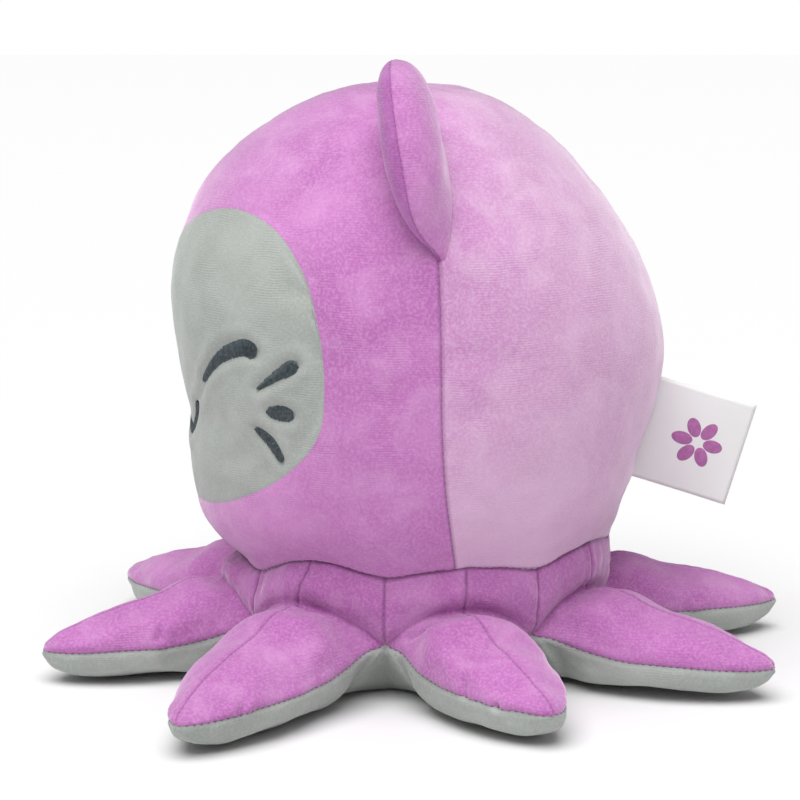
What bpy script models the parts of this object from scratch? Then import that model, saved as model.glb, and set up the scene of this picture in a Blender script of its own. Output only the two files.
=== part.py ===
"""Stuffed plush octopus with two rounded ears, sitting on eight stubby tentacles.

Frame: metres, +Z up, the face looks along -Y, the toy's left side is +X. The origin
is on the floor, at the middle of the underside. Every sewn cover is a 2 mm plush
shell, with its filling as a solid inside. Azimuth 0 is the front, +90 deg the left side.
"""

import math

import bmesh
import bpy
from mathutils import Vector

# ---------------------------------------------------------------- driving dimensions
PLUSH = 0.0020             # thickness of a plush cover
GAP = 0.0003               # clearance between pieces that touch
FILL_INSET = 0.0026        # how far a tentacle's filling lies inside the outer surface
HEAD_FILL_INSET = 0.0032   # the same in the head, whose panels are flatter facets

TENTACLES = 8
STEP_AZ = 2.0 * math.pi / TENTACLES
FIRST_AZ = math.radians(20.0)      # the skirt is sewn on a little turned
HINGE_R = 0.084            # the crease that each tentacle bends at
HINGE_Z = 0.018
ROOT_R = 0.066             # inner end of a tentacle, round about the crease
ROOT_HALF_WIDTH = 0.0285
INNER_HALF_WIDTH = 0.0215
TAPER = (2.2, 0.66)        # powers of the taper from the crease to the pointed tip
BLUNT = 7.0                # how late the tip rounds off in height
TIP_SEAM_Z = 0.0120        # height of the sole seam at the tip
TIP_TOP_Z = 0.0190
REACH = 0.154              # middle of the toy to a tentacle's tip
# how the filling makes each tentacle reach a little more or less, front left one first
REACH_CHANGE = (-0.003, 0.012, -0.012, 0.001, 0.006, 0.000, -0.003, 0.002)
TENTACLE_NAMES = (
    "front_left", "side_front_left", "side_back_left", "back_left",
    "back_right", "side_back_right", "side_front_right", "front_right",
)

BASE_R = 0.070             # flat underside of the body
BASE_EDGE = 0.0006

SKIRT_BOTTOM_Z = 0.0372
SKIRT_BOTTOM_R = 0.0795
SKIRT_OUT = 0.0010         # how far the skirt bulges between its two seams

# head meridians as (distance from the axis, height), from the skirt seam to the crown
FRONT_LINE = (
    (0.070, 0.0425), (0.083, 0.058), (0.088, 0.080), (0.089, 0.102), (0.093, 0.126),
    (0.095, 0.150), (0.090, 0.174), (0.077, 0.198), (0.051, 0.218), (0.026, 0.228),
)
SIDE_LINE = (
    (0.0775, 0.051), (0.088, 0.067), (0.094, 0.086), (0.097, 0.108), (0.097, 0.131),
    (0.094, 0.154), (0.086, 0.177), (0.071, 0.198), (0.050, 0.215), (0.026, 0.227),
)
BACK_LINE = (
    (0.0795, 0.052), (0.087, 0.069), (0.093, 0.088), (0.0985, 0.107), (0.1005, 0.125),
    (0.097, 0.146), (0.087, 0.169), (0.072, 0.191), (0.052, 0.2115), (0.027, 0.226),
)
CROWN_Z = 0.231
TOP_T = 0.985              # where the panels end, just short of the crown
HEAD_R = 0.094             # typical radius of the head round the face
SIDE_SEAM_AZ = math.radians(98.0)
SIDE_SEAM_SWEEP = math.radians(6.0)           # how much further back it runs at the bottom

# outline of the grey face panel as (degrees round from the front, height), from the
# bottom over the cheek and the brow to the dip in the middle
FACE_LINE = (
    (0.0, 0.0680), (20.0, 0.0680), (40.0, 0.0725), (59.0, 0.0850), (70.0, 0.1020),
    (72.5, 0.1220), (70.5, 0.1470), (65.0, 0.1660), (55.0, 0.1790), (40.0, 0.1845),
    (24.0, 0.1815), (11.0, 0.1740), (0.0, 0.1680),
)

THREAD = 0.0009            # how far embroidery stands off the cloth

# ear: its sewn edge lies along the side seam, between these two heights
EAR_INNER_Z = 0.2230
EAR_OUTER_Z = 0.1650
EAR_TIP_LEFT = Vector((0.0860, -0.0030, 0.2290))
EAR_TIP_RIGHT = Vector((0.0850, -0.0100, 0.2262))  # mirrored; it is sewn a little forward
EAR_CLEAR = 0.0026
EAR_ROOT_HALF = 0.0040
EAR_HALF_THICK = 0.0125

LABEL_TOP = Vector((0.0, 0.1022, 0.1130))     # upper end of the label's sewn edge
LABEL_LONG = 0.042
LABEL_OUT = 0.038
LABEL_THICK = 0.0008
LABEL_LEAN = math.radians(17.0)               # the back seam leans in below

PINK = (0.577, 0.188, 0.533)
PINK_PALE = (0.665, 0.355, 0.610)
GREY = (0.400, 0.430, 0.410)
THREAD_DARK = (0.050, 0.072, 0.085)
FILLING = (0.85, 0.84, 0.80)
SATIN = (0.88, 0.88, 0.87)


# ---------------------------------------------------------------- small helpers
def clear_scene():
    """Remove every object that the file starts with."""
    for obj in list(bpy.data.objects):
        bpy.data.objects.remove(obj, do_unlink=True)


def make_material(name, colour, roughness, metallic=0.0):
    """One plain Principled material."""
    mat = bpy.data.materials.new(name)
    mat.use_nodes = True
    shader = mat.node_tree.nodes["Principled BSDF"]
    shader.inputs["Base Color"].default_value = (*colour, 1.0)
    shader.inputs["Roughness"].default_value = roughness
    shader.inputs["Metallic"].default_value = metallic
    return mat


def make_object(name, verts, faces, colour, roughness, origin, parent=None):
    """A closed mesh object whose origin is at the given world point."""
    mesh = bpy.data.meshes.new(name)
    origin = Vector(origin)
    mesh.from_pydata([Vector(v) - origin for v in verts], [], faces)
    bm = bmesh.new()
    bm.from_mesh(mesh)
    bmesh.ops.triangulate(bm, faces=[f for f in bm.faces if len(f.verts) > 4])
    bmesh.ops.recalc_face_normals(bm, faces=bm.faces)
    bm.to_mesh(mesh)
    bm.free()
    mesh.shade_smooth()
    mesh.set_sharp_from_angle(angle=math.radians(40.0))
    mesh.materials.append(make_material(name + "_finish", colour, roughness))
    obj = bpy.data.objects.new(name, mesh)
    bpy.context.scene.collection.objects.link(obj)
    if parent is None:
        obj.location = origin
    else:
        obj.parent = parent
        obj.location = origin - parent.location
    return obj


def make_pivot(name, place):
    """An empty on a joint's axis."""
    pivot = bpy.data.objects.new(name, None)
    pivot.location = place
    bpy.context.scene.collection.objects.link(pivot)
    return pivot


def slab(outer, inner):
    """Join two equal grids of points, outer and inner, into one closed slab."""
    rows = len(outer)
    cols = len(outer[0])
    verts = [p for row in outer for p in row] + [p for row in inner for p in row]
    half = rows * cols
    faces = []
    for i in range(rows - 1):
        for j in range(cols - 1):
            a = i * cols + j
            b = a + 1
            c = a + cols + 1
            d = a + cols
            faces.append((a, b, c, d))
            faces.append((half + d, half + c, half + b, half + a))
    rim = [j for j in range(cols)]
    rim += [i * cols + cols - 1 for i in range(1, rows)]
    rim += [(rows - 1) * cols + j for j in range(cols - 2, -1, -1)]
    rim += [i * cols for i in range(rows - 2, 0, -1)]
    for k, a in enumerate(rim):
        b = rim[(k + 1) % len(rim)]
        faces.append((b, a, half + a, half + b))
    return verts, faces


def closed_loft(rings, start=None, end=None):
    """Skin closed rings of equal length; an end point or a flat cap shuts each end."""
    count = len(rings[0])
    verts = [p for ring in rings for p in ring]
    faces = []
    for i in range(len(rings) - 1):
        for j in range(count):
            k = (j + 1) % count
            a = i * count
            faces.append((a + j, a + k, a + count + k, a + count + j))
    last = (len(rings) - 1) * count
    if start is None:
        faces.append(tuple(range(count - 1, -1, -1)))
    else:
        verts.append(start)
        tip = len(verts) - 1
        faces += [(tip, (j + 1) % count, j) for j in range(count)]
    if end is None:
        faces.append(tuple(last + j for j in range(count)))
    else:
        verts.append(end)
        tip = len(verts) - 1
        faces += [(tip, last + j, last + (j + 1) % count) for j in range(count)]
    return verts, faces


def spread(first, last, count):
    """Evenly spaced values, both ends included."""
    return [first + (last - first) * i / (count - 1) for i in range(count)]


def smooth_line(points, t):
    """A point on a Catmull-Rom curve through the points, t from 0 to 1."""
    spans = len(points) - 1
    place = min(max(t, 0.0), 1.0) * spans
    i = min(int(place), spans - 1)
    f = place - i
    p1 = points[i]
    p2 = points[i + 1]
    p0 = points[i - 1] if i > 0 else tuple(2 * a - b for a, b in zip(p1, p2))
    p3 = points[i + 2] if i + 2 <= spans else tuple(2 * b - a for a, b in zip(p1, p2))
    out = []
    for a, b, c, d in zip(p0, p1, p2, p3):
        out.append(0.5 * (2 * b + (c - a) * f + (2 * a - 5 * b + 4 * c - d) * f ** 2
                          + (3 * b - a - 3 * c + d) * f ** 3))
    return tuple(out)


def tentacle_az(n):
    """Azimuth of a tentacle's middle line."""
    return FIRST_AZ + n * STEP_AZ


def power(value, exponent):
    """A signed power, for superellipse sections."""
    return math.copysign(abs(value) ** exponent, value)


# ---------------------------------------------------------------- head and skirt
CROWN_LINE = ((0.0, CROWN_Z),)
FACE_STEPS = 28                    # points along each half of the face panel's outline
HEAD_ROWS = [TOP_T * row / 15.0 for row in range(16)]


def head_point(az, t, inset=0.0):
    """A point of the head's surface; t runs from the skirt seam up to the crown."""
    front = smooth_line(FRONT_LINE + CROWN_LINE, t)
    side = smooth_line(SIDE_LINE + CROWN_LINE, t)
    back = smooth_line(BACK_LINE + CROWN_LINE, t)
    fore = max(math.cos(az), 0.0) ** 2
    aft = max(-math.cos(az), 0.0) ** 2
    flank = math.sin(az) ** 2
    r = fore * front[0] + aft * back[0] + flank * side[0]
    z = fore * front[1] + aft * back[1] + flank * side[1]
    point = Vector((r * math.sin(az), -r * math.cos(az), z))
    if inset:
        point += head_inward(az, t) * inset
    return point


def head_inward(az, t):
    """Unit normal of the head's surface, pointing in."""
    h = 0.002
    low = max(t - h, 0.0)
    high = min(t + h, TOP_T)
    low = min(low, high - h)
    level = min(t, TOP_T)
    up = head_point(az, high) - head_point(az, low)
    round_ = head_point(az + h, level) - head_point(az - h, level)
    return up.cross(round_).normalized()


def side_seam_az(t):
    """Azimuth of the seam between the front and the back panels."""
    low = max(1.0 - t / 0.35, 0.0)
    return SIDE_SEAM_AZ + SIDE_SEAM_SWEEP * low ** 2


def row_at_height(az, z):
    """The t at which the head's surface has this height."""
    low = 0.0
    high = 1.0
    for _ in range(40):
        t = (low + high) / 2.0
        if head_point(az, t).z < z:
            low = t
        else:
            high = t
    return t


def face_edge(f, grow):
    """Azimuth and t on the face panel's outline, grown outwards; f runs from the bottom to the dip."""
    degrees, z = smooth_line(FACE_LINE, f)
    ahead = smooth_line(FACE_LINE, min(f + 0.01, 1.0))
    behind = smooth_line(FACE_LINE, max(f - 0.01, 0.0))
    dx = math.radians(ahead[0] - behind[0]) * HEAD_R
    along = Vector((dx, ahead[1] - behind[1])).normalized()
    az = math.radians(max(degrees, 0.0)) + along.y * grow / HEAD_R
    z -= along.x * grow
    return az, row_at_height(az, z)


def back_panel(name, side):
    """A back panel of the head cover, from the skirt seam to the crown."""
    edge = math.radians(0.1)
    outer = []
    inner = []
    for t in HEAD_ROWS:
        azimuths = [side * a for a in spread(side_seam_az(t) + edge, math.pi - edge, 9)]
        outer.append([head_point(az, t) for az in azimuths])
        inner.append([head_point(az, t, PLUSH) for az in azimuths])
    verts, faces = slab(outer, inner)
    return make_object(name, verts, faces, PINK_PALE, 0.9, (0.0, 0.0, HINGE_Z))


def front_panel(name, side):
    """A front panel: it runs round the face panel from the skirt seam to the crown."""
    edge = math.radians(0.1)
    top = HEAD_ROWS[-1]
    border = [(a, 0.0) for a in spread(edge, side_seam_az(0.0) - edge, 8)]
    border += [(side_seam_az(t) - edge, t) for t in HEAD_ROWS[1:]]
    border += [(a, top) for a in spread(SIDE_SEAM_AZ - edge, edge, FACE_STEPS - 21)[1:]]
    outer = []
    inner = []
    for k, (az_out, t_out) in enumerate(border):
        az_in, t_in = face_edge(k / FACE_STEPS, GAP / 2.0)
        az_in = max(az_in, edge)
        row_out = []
        row_in = []
        for f in spread(0.0, 1.0, 7):
            az = side * (az_in + (az_out - az_in) * f)
            t = t_in + (t_out - t_in) * f
            row_out.append(head_point(az, t))
            row_in.append(head_point(az, t, PLUSH))
        outer.append(row_out)
        inner.append(row_in)
    verts, faces = slab(outer, inner)
    return make_object(name, verts, faces, PINK, 0.9, (0.0, 0.0, HINGE_Z))


def build_face_panel():
    """The grey face panel, set into the front panels: fans of rows across its outline."""
    rows = FACE_STEPS // 2
    outer = []
    inner = []
    for k in range(1, rows + 1):
        low_az, low_t = face_edge(0.5 - 0.5 * k / rows, -GAP / 2.0)
        high_az, high_t = face_edge(0.5 + 0.5 * k / rows, -GAP / 2.0)
        if k == rows:
            low_az = high_az = 0.0
        row_out = []
        row_in = []
        for f in spread(0.0, 1.0, 9):
            az = low_az + (high_az - low_az) * f
            t = low_t + (high_t - low_t) * f
            row_out.append(head_point(az, t))
            row_in.append(head_point(az, t, PLUSH))
        outer.append(row_out)
        inner.append(row_in)
    for grid in (outer, inner):
        grid += [[Vector((-p.x, p.y, p.z)) for p in row] for row in reversed(grid[:-1])]
    verts, faces = slab(outer, inner)
    make_object("face_panel", verts, faces, GREY, 0.9, (0.0, 0.0, HINGE_Z))


def build_head():
    """Four plush panels and the grey face panel that is set into the front two."""
    front_panel("head_front_panel_left", 1.0)
    front_panel("head_front_panel_right", -1.0)
    back_panel("head_back_panel_left", 1.0)
    back_panel("head_back_panel_right", -1.0)
    build_face_panel()


def build_filling():
    """The filling of the head and body: the head's shape, with a waist at the tentacles."""
    sides = 24
    azimuths = [2.0 * math.pi * j / sides for j in range(sides)]
    clear = HINGE_R - ROOT_R + 0.0014
    rings = []
    for z in (PLUSH + BASE_EDGE, 0.008, HINGE_Z, 0.028, 0.0345):
        r = HINGE_R - math.sqrt(clear ** 2 - (z - HINGE_Z) ** 2)
        r = min(r, BASE_R - 0.001)
        rings.append([(r * math.sin(a), -r * math.cos(a), z) for a in azimuths])
    for t in HEAD_ROWS[:-1]:
        rings.append([head_point(a, t, HEAD_FILL_INSET) for a in azimuths])
    crown = (0.0, 0.0, CROWN_Z - HEAD_FILL_INSET)
    verts, faces = closed_loft(rings, end=crown)
    make_object("head_filling", verts, faces, FILLING, 1.0, (0.0, 0.0, HINGE_Z))


def build_base():
    """The round grey panel under the body; its flat underside is the resting face."""
    sides = 48
    low = 0.0
    high = PLUSH
    rings = []
    for r, z in ((BASE_R - BASE_EDGE, low), (BASE_R, low + BASE_EDGE), (BASE_R, high)):
        rings.append([
            (r * math.sin(2 * math.pi * j / sides), -r * math.cos(2 * math.pi * j / sides), z)
            for j in range(sides)
        ])
    verts, faces = closed_loft(rings)
    make_object("base_panel", verts, faces, GREY, 0.9, (0.0, 0.0, 0.0))


def build_skirt():
    """Eight plush panels between the head seam and the tentacles' creases."""
    edge = math.radians(0.12)
    seam_drop = GAP * 2.0
    for n in range(TENTACLES):
        middle = tentacle_az(n)
        outer = []
        inner = []
        for f in (0.0, 0.5, 1.0):
            row_out = []
            row_in = []
            for az in spread(middle - STEP_AZ / 2 + edge, middle + STEP_AZ / 2 - edge, 6):
                seam = head_point(az, 0.0)
                top = seam.z - seam_drop
                out = Vector((math.sin(az), -math.cos(az), 0.0))
                seam_r = math.hypot(seam.x, seam.y)
                bulge = SKIRT_OUT * math.sin(math.pi * f)
                r = seam_r + (SKIRT_BOTTOM_R - seam_r) * f + bulge
                z = top + (SKIRT_BOTTOM_Z - top) * f
                row_out.append(out * r + Vector((0.0, 0.0, z)))
                row_in.append(out * (r - PLUSH) + Vector((0.0, 0.0, z)))
            outer.append(row_out)
            inner.append(row_in)
        verts, faces = slab(outer, inner)
        name = "skirt_panel_" + TENTACLE_NAMES[n]
        make_object(name, verts, faces, PINK, 0.9, (0.0, 0.0, SKIRT_BOTTOM_Z))


# ---------------------------------------------------------------- face embroidery
def on_face(degrees, z, lift):
    """The point of the head's surface at this azimuth and height, lifted off it."""
    az = math.radians(degrees)
    t = row_at_height(az, z)
    return head_point(az, t) - head_inward(az, t) * lift


def satin_stroke(name, points, widths):
    """A raised embroidered stroke along points (degrees from the front, height)."""
    outer = []
    inner = []
    for f in spread(0.0, 1.0, 11):
        degrees, z = smooth_line(points, f)
        ahead = smooth_line(points, min(f + 0.02, 1.0))
        behind = smooth_line(points, max(f - 0.02, 0.0))
        dx = math.radians(ahead[0] - behind[0]) * HEAD_R
        dz = ahead[1] - behind[1]
        length = math.hypot(dx, dz)
        half = smooth_line(tuple((w,) for w in widths), f)[0] / 2.0
        turn = math.degrees(-dz / length * half / HEAD_R)
        rise = dx / length * half
        places = [(degrees + turn * k, z + rise * k) for k in (-1.0, 0.0, 1.0)]
        outer.append([on_face(a, h, GAP + THREAD) for a, h in places])
        inner.append([on_face(a, h, GAP) for a, h in places])
    verts, faces = slab(outer, inner)
    middle = smooth_line(points, 0.5)
    return make_object(name, verts, faces, THREAD_DARK, 0.6, on_face(*middle, GAP))


def build_embroidery():
    """Two closed eyes and a small plain mouth."""
    lid = ((34.0, 0.1185), (43.5, 0.1315), (51.5, 0.1365), (55.0, 0.1340))
    widths = (0.0020, 0.0048, 0.0064, 0.0060)
    for name, side in (("eye_left", 1.0), ("eye_right", -1.0)):
        satin_stroke(name, tuple((side * a, z) for a, z in lid), widths)
    smile = ((-22.0, 0.1060), (-14.0, 0.0960), (-6.0, 0.0950), (0.0, 0.1005),
             (6.0, 0.0950), (14.0, 0.0960), (22.0, 0.1060))
    satin_stroke("mouth", smile, (0.0020, 0.0034, 0.0034, 0.0020))


# ---------------------------------------------------------------- ears
EAR_ROWS = (0.0, 0.12, 0.3, 0.5, 0.7, 0.86, 0.96)
EAR_ACROSS = spread(-1.0, 1.0, 9)
EAR_INNER_SCALE = 0.90
EAR_FILL_SCALE = 0.82


def ear_root(s):
    """A point of an ear's sewn edge, a little off the head; s is -1 at the inner end."""
    z = EAR_INNER_Z + (EAR_OUTER_Z - EAR_INNER_Z) * (s + 1.0) / 2.0
    t = row_at_height(SIDE_SEAM_AZ, z)
    return head_point(SIDE_SEAM_AZ, t, -EAR_CLEAR)


def ear_point(side, s, h, depth, scale):
    """A point of an ear: s across from -1 to 1, h up from 0 to 1, depth front or back."""
    tip = EAR_TIP_LEFT if side > 0.0 else EAR_TIP_RIGHT
    inner = ear_root(-1.0)
    outer = ear_root(1.0)
    across = outer - inner
    middle = (outer + inner) / 2.0
    rise = tip - middle
    face = across.cross(rise).normalized()
    if face.y > 0.0:
        face = -face
    centre = middle + rise * 0.45
    half = max(math.cos(math.pi / 2.0 * min(h, 1.0) ** 1.7), 0.0) ** 0.62
    arch = (ear_root(s) - middle - across * (0.5 * s)) * (1.0 - h) ** 2
    point = middle + rise * h + across * (0.5 * s * half) + arch
    swell = math.sin(math.pi / 2.0 * min(h * 1.5, 1.0))
    thick = EAR_ROOT_HALF + (EAR_HALF_THICK - EAR_ROOT_HALF) * swell
    thick *= math.sqrt(max(1.0 - abs(s) ** 2.6, 0.0)) * math.sqrt(max(1.0 - h ** 3.2, 0.0))
    point = centre + (point - centre) * scale
    point += face * (depth * thick * scale)
    return Vector((side * point.x, point.y, point.z))


def ear_shell(name, side, depth, colour, pivot):
    """The front or the back cover of an ear."""
    outer = []
    inner = []
    lift = Vector((0.0, -depth * GAP / 2.0, 0.0))
    for h in EAR_ROWS:
        outer.append([ear_point(side, s, h, depth, 1.0) + lift for s in EAR_ACROSS])
        inner.append([ear_point(side, s, h, depth, EAR_INNER_SCALE) + lift for s in EAR_ACROSS])
    verts, faces = slab(outer, inner)
    return make_object(name, verts, faces, colour, 0.9, pivot.location, pivot)


def build_ear(word, side):
    """An ear: two covers sewn along the rim, with filling between them."""
    middle = (ear_root(-1.0) + ear_root(1.0)) / 2.0
    pivot = make_pivot("ear_pivot_" + word, (side * middle.x, middle.y, middle.z))
    ear_shell("ear_front_panel_" + word, side, 1.0, PINK, pivot)
    ear_shell("ear_back_panel_" + word, side, -1.0, PINK, pivot)
    front = []
    back = []
    for h in EAR_ROWS:
        front.append([ear_point(side, s, h, 1.0, EAR_FILL_SCALE) for s in EAR_ACROSS[1:-1]])
        back.append([ear_point(side, s, h, -1.0, EAR_FILL_SCALE) for s in EAR_ACROSS[1:-1]])
    verts, faces = slab(front, back)
    make_object("ear_filling_" + word, verts, faces, FILLING, 1.0, pivot.location, pivot)


# ---------------------------------------------------------------- label
def build_label():
    """The plain satin label, sewn by one edge into the back seam."""
    along = Vector((0.0, -math.sin(LABEL_LEAN), -math.cos(LABEL_LEAN)))
    out = Vector((0.0, math.cos(LABEL_LEAN), -math.sin(LABEL_LEAN)))
    pivot = make_pivot("label_pivot", LABEL_TOP + along * LABEL_LONG / 2.0)
    side = Vector((LABEL_THICK / 2.0, 0.0, 0.0))
    grids = []
    for face in (side, -side):
        rows = []
        for f in (0.0, 0.5, 1.0):
            row = [LABEL_TOP + along * LABEL_LONG * f + out * LABEL_OUT * g + face
                   for g in (0.0, 0.5, 1.0)]
            rows.append(row)
        grids.append(rows)
    verts, faces = slab(grids[0], grids[1])
    make_object("back_label", verts, faces, SATIN, 0.45, pivot.location, pivot)


# ---------------------------------------------------------------- tentacles
TENTACLE_STATIONS = spread(0.0, 1.0, 11)
TOP_COLUMNS = 5
SOLE_COLUMNS = 8
SEAM_ANGLE = math.radians(1.3)     # half the open angle between sole and top panels
RIDGE_ANGLE = math.pi / 2.0
RIDGE_OPEN = math.radians(0.45)


def tentacle_section(r, reach):
    """Half width, sole height, seam height and top height of a tentacle at radius r."""
    if r <= HINGE_R:
        back = (HINGE_R - r) / (HINGE_R - ROOT_R)
        rise = math.sqrt(max(1.0 - back ** 2, 0.0)) * (HINGE_R - ROOT_R)
        half = INNER_HALF_WIDTH + (ROOT_HALF_WIDTH - INNER_HALF_WIDTH) * math.sqrt(1.0 - back ** 2)
        return half, HINGE_Z - rise, HINGE_Z, HINGE_Z + rise
    f = (r - HINGE_R) / (reach - HINGE_R)
    half = ROOT_HALF_WIDTH * (1.0 - f ** TAPER[0]) ** TAPER[1]
    seam = HINGE_Z + (TIP_SEAM_Z - HINGE_Z) * f
    top = 2.0 * HINGE_Z + (TIP_TOP_Z - 2.0 * HINGE_Z) * f
    end = math.sqrt(1.0 - f ** BLUNT)
    return half, seam - seam * end, seam, seam + (top - seam) * end


def tentacle_point(n, u, angle, inset):
    """A point of tentacle n: u runs from root to tip, angle goes round the section."""
    reach = REACH + REACH_CHANGE[n]
    mid_r = (ROOT_R + reach) / 2.0
    half_len = (reach - ROOT_R) / 2.0
    x = -math.cos(math.pi * u) * 0.995
    r = mid_r + half_len * x
    half, bottom, seam, top = tentacle_section(r, reach)
    c = math.cos(angle)
    s = math.sin(angle)
    if s >= 0.0:
        across = half * power(c, 0.9)
        z = seam + (top - seam) * power(s, 0.95)
    else:
        across = half * power(c, 0.55)
        z = seam + (seam - bottom) * power(s, 0.80)
    shrink_r = 1.0 - inset / half_len
    shrink_w = 1.0 - inset / ROOT_HALF_WIDTH
    shrink_z = 1.0 - inset / HINGE_Z
    r = mid_r + (r - mid_r) * shrink_r
    across *= shrink_w
    z = seam + (z - seam) * shrink_z
    az = tentacle_az(n)
    out = Vector((math.sin(az), -math.cos(az), 0.0))
    left = Vector((math.cos(az), math.sin(az), 0.0))
    return out * r + left * across + Vector((0.0, 0.0, z))


def tentacle_shell(name, n, angles, colour, pivot):
    """A plush panel of a tentacle over some angles of its section."""
    outer = []
    inner = []
    for u in TENTACLE_STATIONS:
        outer.append([tentacle_point(n, u, a, 0.0) for a in angles])
        inner.append([tentacle_point(n, u, a, PLUSH) for a in angles])
    verts, faces = slab(outer, inner)
    return make_object(name, verts, faces, colour, 0.9, pivot.location, pivot)


def build_tentacle(n):
    """One tentacle: two top panels that meet on the ridge, a grey sole and filling."""
    word = TENTACLE_NAMES[n]
    az = tentacle_az(n)
    pivot = make_pivot(
        "tentacle_pivot_" + word,
        (HINGE_R * math.sin(az), -HINGE_R * math.cos(az), HINGE_Z),
    )
    left = spread(SEAM_ANGLE, RIDGE_ANGLE - RIDGE_OPEN, TOP_COLUMNS)
    right = spread(RIDGE_ANGLE + RIDGE_OPEN, math.pi - SEAM_ANGLE, TOP_COLUMNS)
    under = spread(math.pi + SEAM_ANGLE, 2.0 * math.pi - SEAM_ANGLE, SOLE_COLUMNS)
    tentacle_shell("tentacle_top_left_" + word, n, left, PINK, pivot)
    tentacle_shell("tentacle_top_right_" + word, n, right, PINK, pivot)
    tentacle_shell("tentacle_sole_" + word, n, under, GREY, pivot)
    round_ = left + right[1:] + under[1:-1]
    rings = []
    for u in TENTACLE_STATIONS[1:-1]:
        rings.append([tentacle_point(n, u, a, FILL_INSET) for a in round_])
    verts, faces = closed_loft(rings)
    make_object("tentacle_filling_" + word, verts, faces, FILLING, 1.0, pivot.location, pivot)


# ---------------------------------------------------------------- the whole toy
clear_scene()
build_head()
build_filling()
build_base()
build_skirt()
build_embroidery()
build_ear("left", 1.0)
build_ear("right", -1.0)
build_label()
for number in range(TENTACLES):
    build_tentacle(number)
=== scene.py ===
"""Looks of the stuffed plush octopus: sewn covers, embroidery, stitches and label.

The covers are built as two patchworks of quads, the head and the lower body, that repeat
the CAD model's surfaces. Each is puffed up by a short cloth simulation with its seams
held, refined, and sculpted with seam valleys and stuffing lumps, and then it is cut into
its sewn panels.
"""

import math

import bmesh
import bpy
import numpy as np
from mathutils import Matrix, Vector, bvhtree, kdtree, noise


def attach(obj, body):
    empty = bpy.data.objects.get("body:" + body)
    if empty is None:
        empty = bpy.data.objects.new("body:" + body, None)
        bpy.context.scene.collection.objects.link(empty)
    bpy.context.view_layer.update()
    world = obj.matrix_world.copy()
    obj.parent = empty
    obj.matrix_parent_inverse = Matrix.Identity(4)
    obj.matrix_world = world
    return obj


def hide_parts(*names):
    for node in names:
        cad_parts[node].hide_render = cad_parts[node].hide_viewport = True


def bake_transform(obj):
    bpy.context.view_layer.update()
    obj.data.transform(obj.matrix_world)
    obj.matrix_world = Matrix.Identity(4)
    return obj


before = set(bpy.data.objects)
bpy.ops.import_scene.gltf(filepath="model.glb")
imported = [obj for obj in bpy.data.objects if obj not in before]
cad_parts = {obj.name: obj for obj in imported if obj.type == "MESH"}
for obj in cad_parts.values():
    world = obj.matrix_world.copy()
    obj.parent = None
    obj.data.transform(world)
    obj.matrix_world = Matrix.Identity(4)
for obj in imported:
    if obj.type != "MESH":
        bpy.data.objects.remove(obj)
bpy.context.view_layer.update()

MM = 0.001

# ---------------------------------------------------------------- camera and stage
VIEW_AZ = math.radians(92.0)
VIEW_EL = math.radians(9.0)
VIEW_DISTANCE = 0.900
VIEW_Z = 0.1035
VIEW_SIDE = -0.0044        # how far the view's middle lies beside the toy's axis
SENSOR_MM = 36.0
LENS_MM = 100.8
SUN_AZ = 74.0              # degrees, like the sun's other angles
SUN_HEIGHT = 70.0
SUN_SPREAD = 60.0
SUN_STRENGTH = 3.50
AMBIENT = 0.28
SURROUND = 1.02            # brightness of the paper behind the toy
FLOOR_REACH = 60.0
FLOOR_Z = -0.0004
FLOOR_GREY = 0.77

# ---------------------------------------------------------------- the toy, as in the CAD
TENTACLES = 8
STEP_AZ = 2.0 * math.pi / TENTACLES
FIRST_AZ = math.radians(20.0)
TENTACLE_NAMES = (
    "front_left", "side_front_left", "side_back_left", "back_left",
    "back_right", "side_back_right", "side_front_right", "front_right",
)
REACH = 0.154
# as in the CAD but for the last, which is drawn in 6 mm more
REACH_CHANGE = (-0.003, 0.012, -0.012, 0.001, 0.006, 0.000, -0.003, -0.004)
FRONT_LINE = (
    (0.070, 0.0425), (0.083, 0.058), (0.088, 0.080), (0.089, 0.102), (0.093, 0.126),
    (0.095, 0.150), (0.090, 0.174), (0.077, 0.198), (0.051, 0.218), (0.026, 0.228),
    (0.0, 0.231),
)
SIDE_LINE = (
    (0.0775, 0.051), (0.088, 0.067), (0.094, 0.086), (0.097, 0.108), (0.097, 0.131),
    (0.094, 0.154), (0.086, 0.177), (0.071, 0.198), (0.050, 0.215), (0.026, 0.227),
    (0.0, 0.231),
)
BACK_LINE = (
    (0.0795, 0.052), (0.087, 0.069), (0.093, 0.088), (0.0985, 0.107), (0.1005, 0.125),
    (0.097, 0.146), (0.087, 0.169), (0.072, 0.191), (0.052, 0.2115), (0.027, 0.226),
    (0.0, 0.231),
)
FACE_LINE = (
    (0.0, 0.0680), (20.0, 0.0680), (40.0, 0.0725), (59.0, 0.0850), (70.0, 0.1020),
    (72.5, 0.1220), (70.5, 0.1470), (65.0, 0.1660), (55.0, 0.1790), (40.0, 0.1845),
    (24.0, 0.1815), (11.0, 0.1740), (0.0, 0.1680),
)
SIDE_SEAM_AZ = math.radians(98.0)
SIDE_SEAM_SWEEP = math.radians(6.0)
TOP_T = 0.985

# ---------------------------------------------------------------- panels' numbers
FACE = 1
FRONT_LEFT = 2
FRONT_RIGHT = 3
BACK_LEFT = 4
BACK_RIGHT = 5
ARM_LEFT = 10              # + the tentacle's number
ARM_RIGHT = 20
SOLE = 30
EAR_FRONT = 6
EAR_BACK = 7
TUCKED = 100               # added for cloth that is folded in behind a seam
SKIRT = 200                # added for the skirt's part of a tentacle cover


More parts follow.
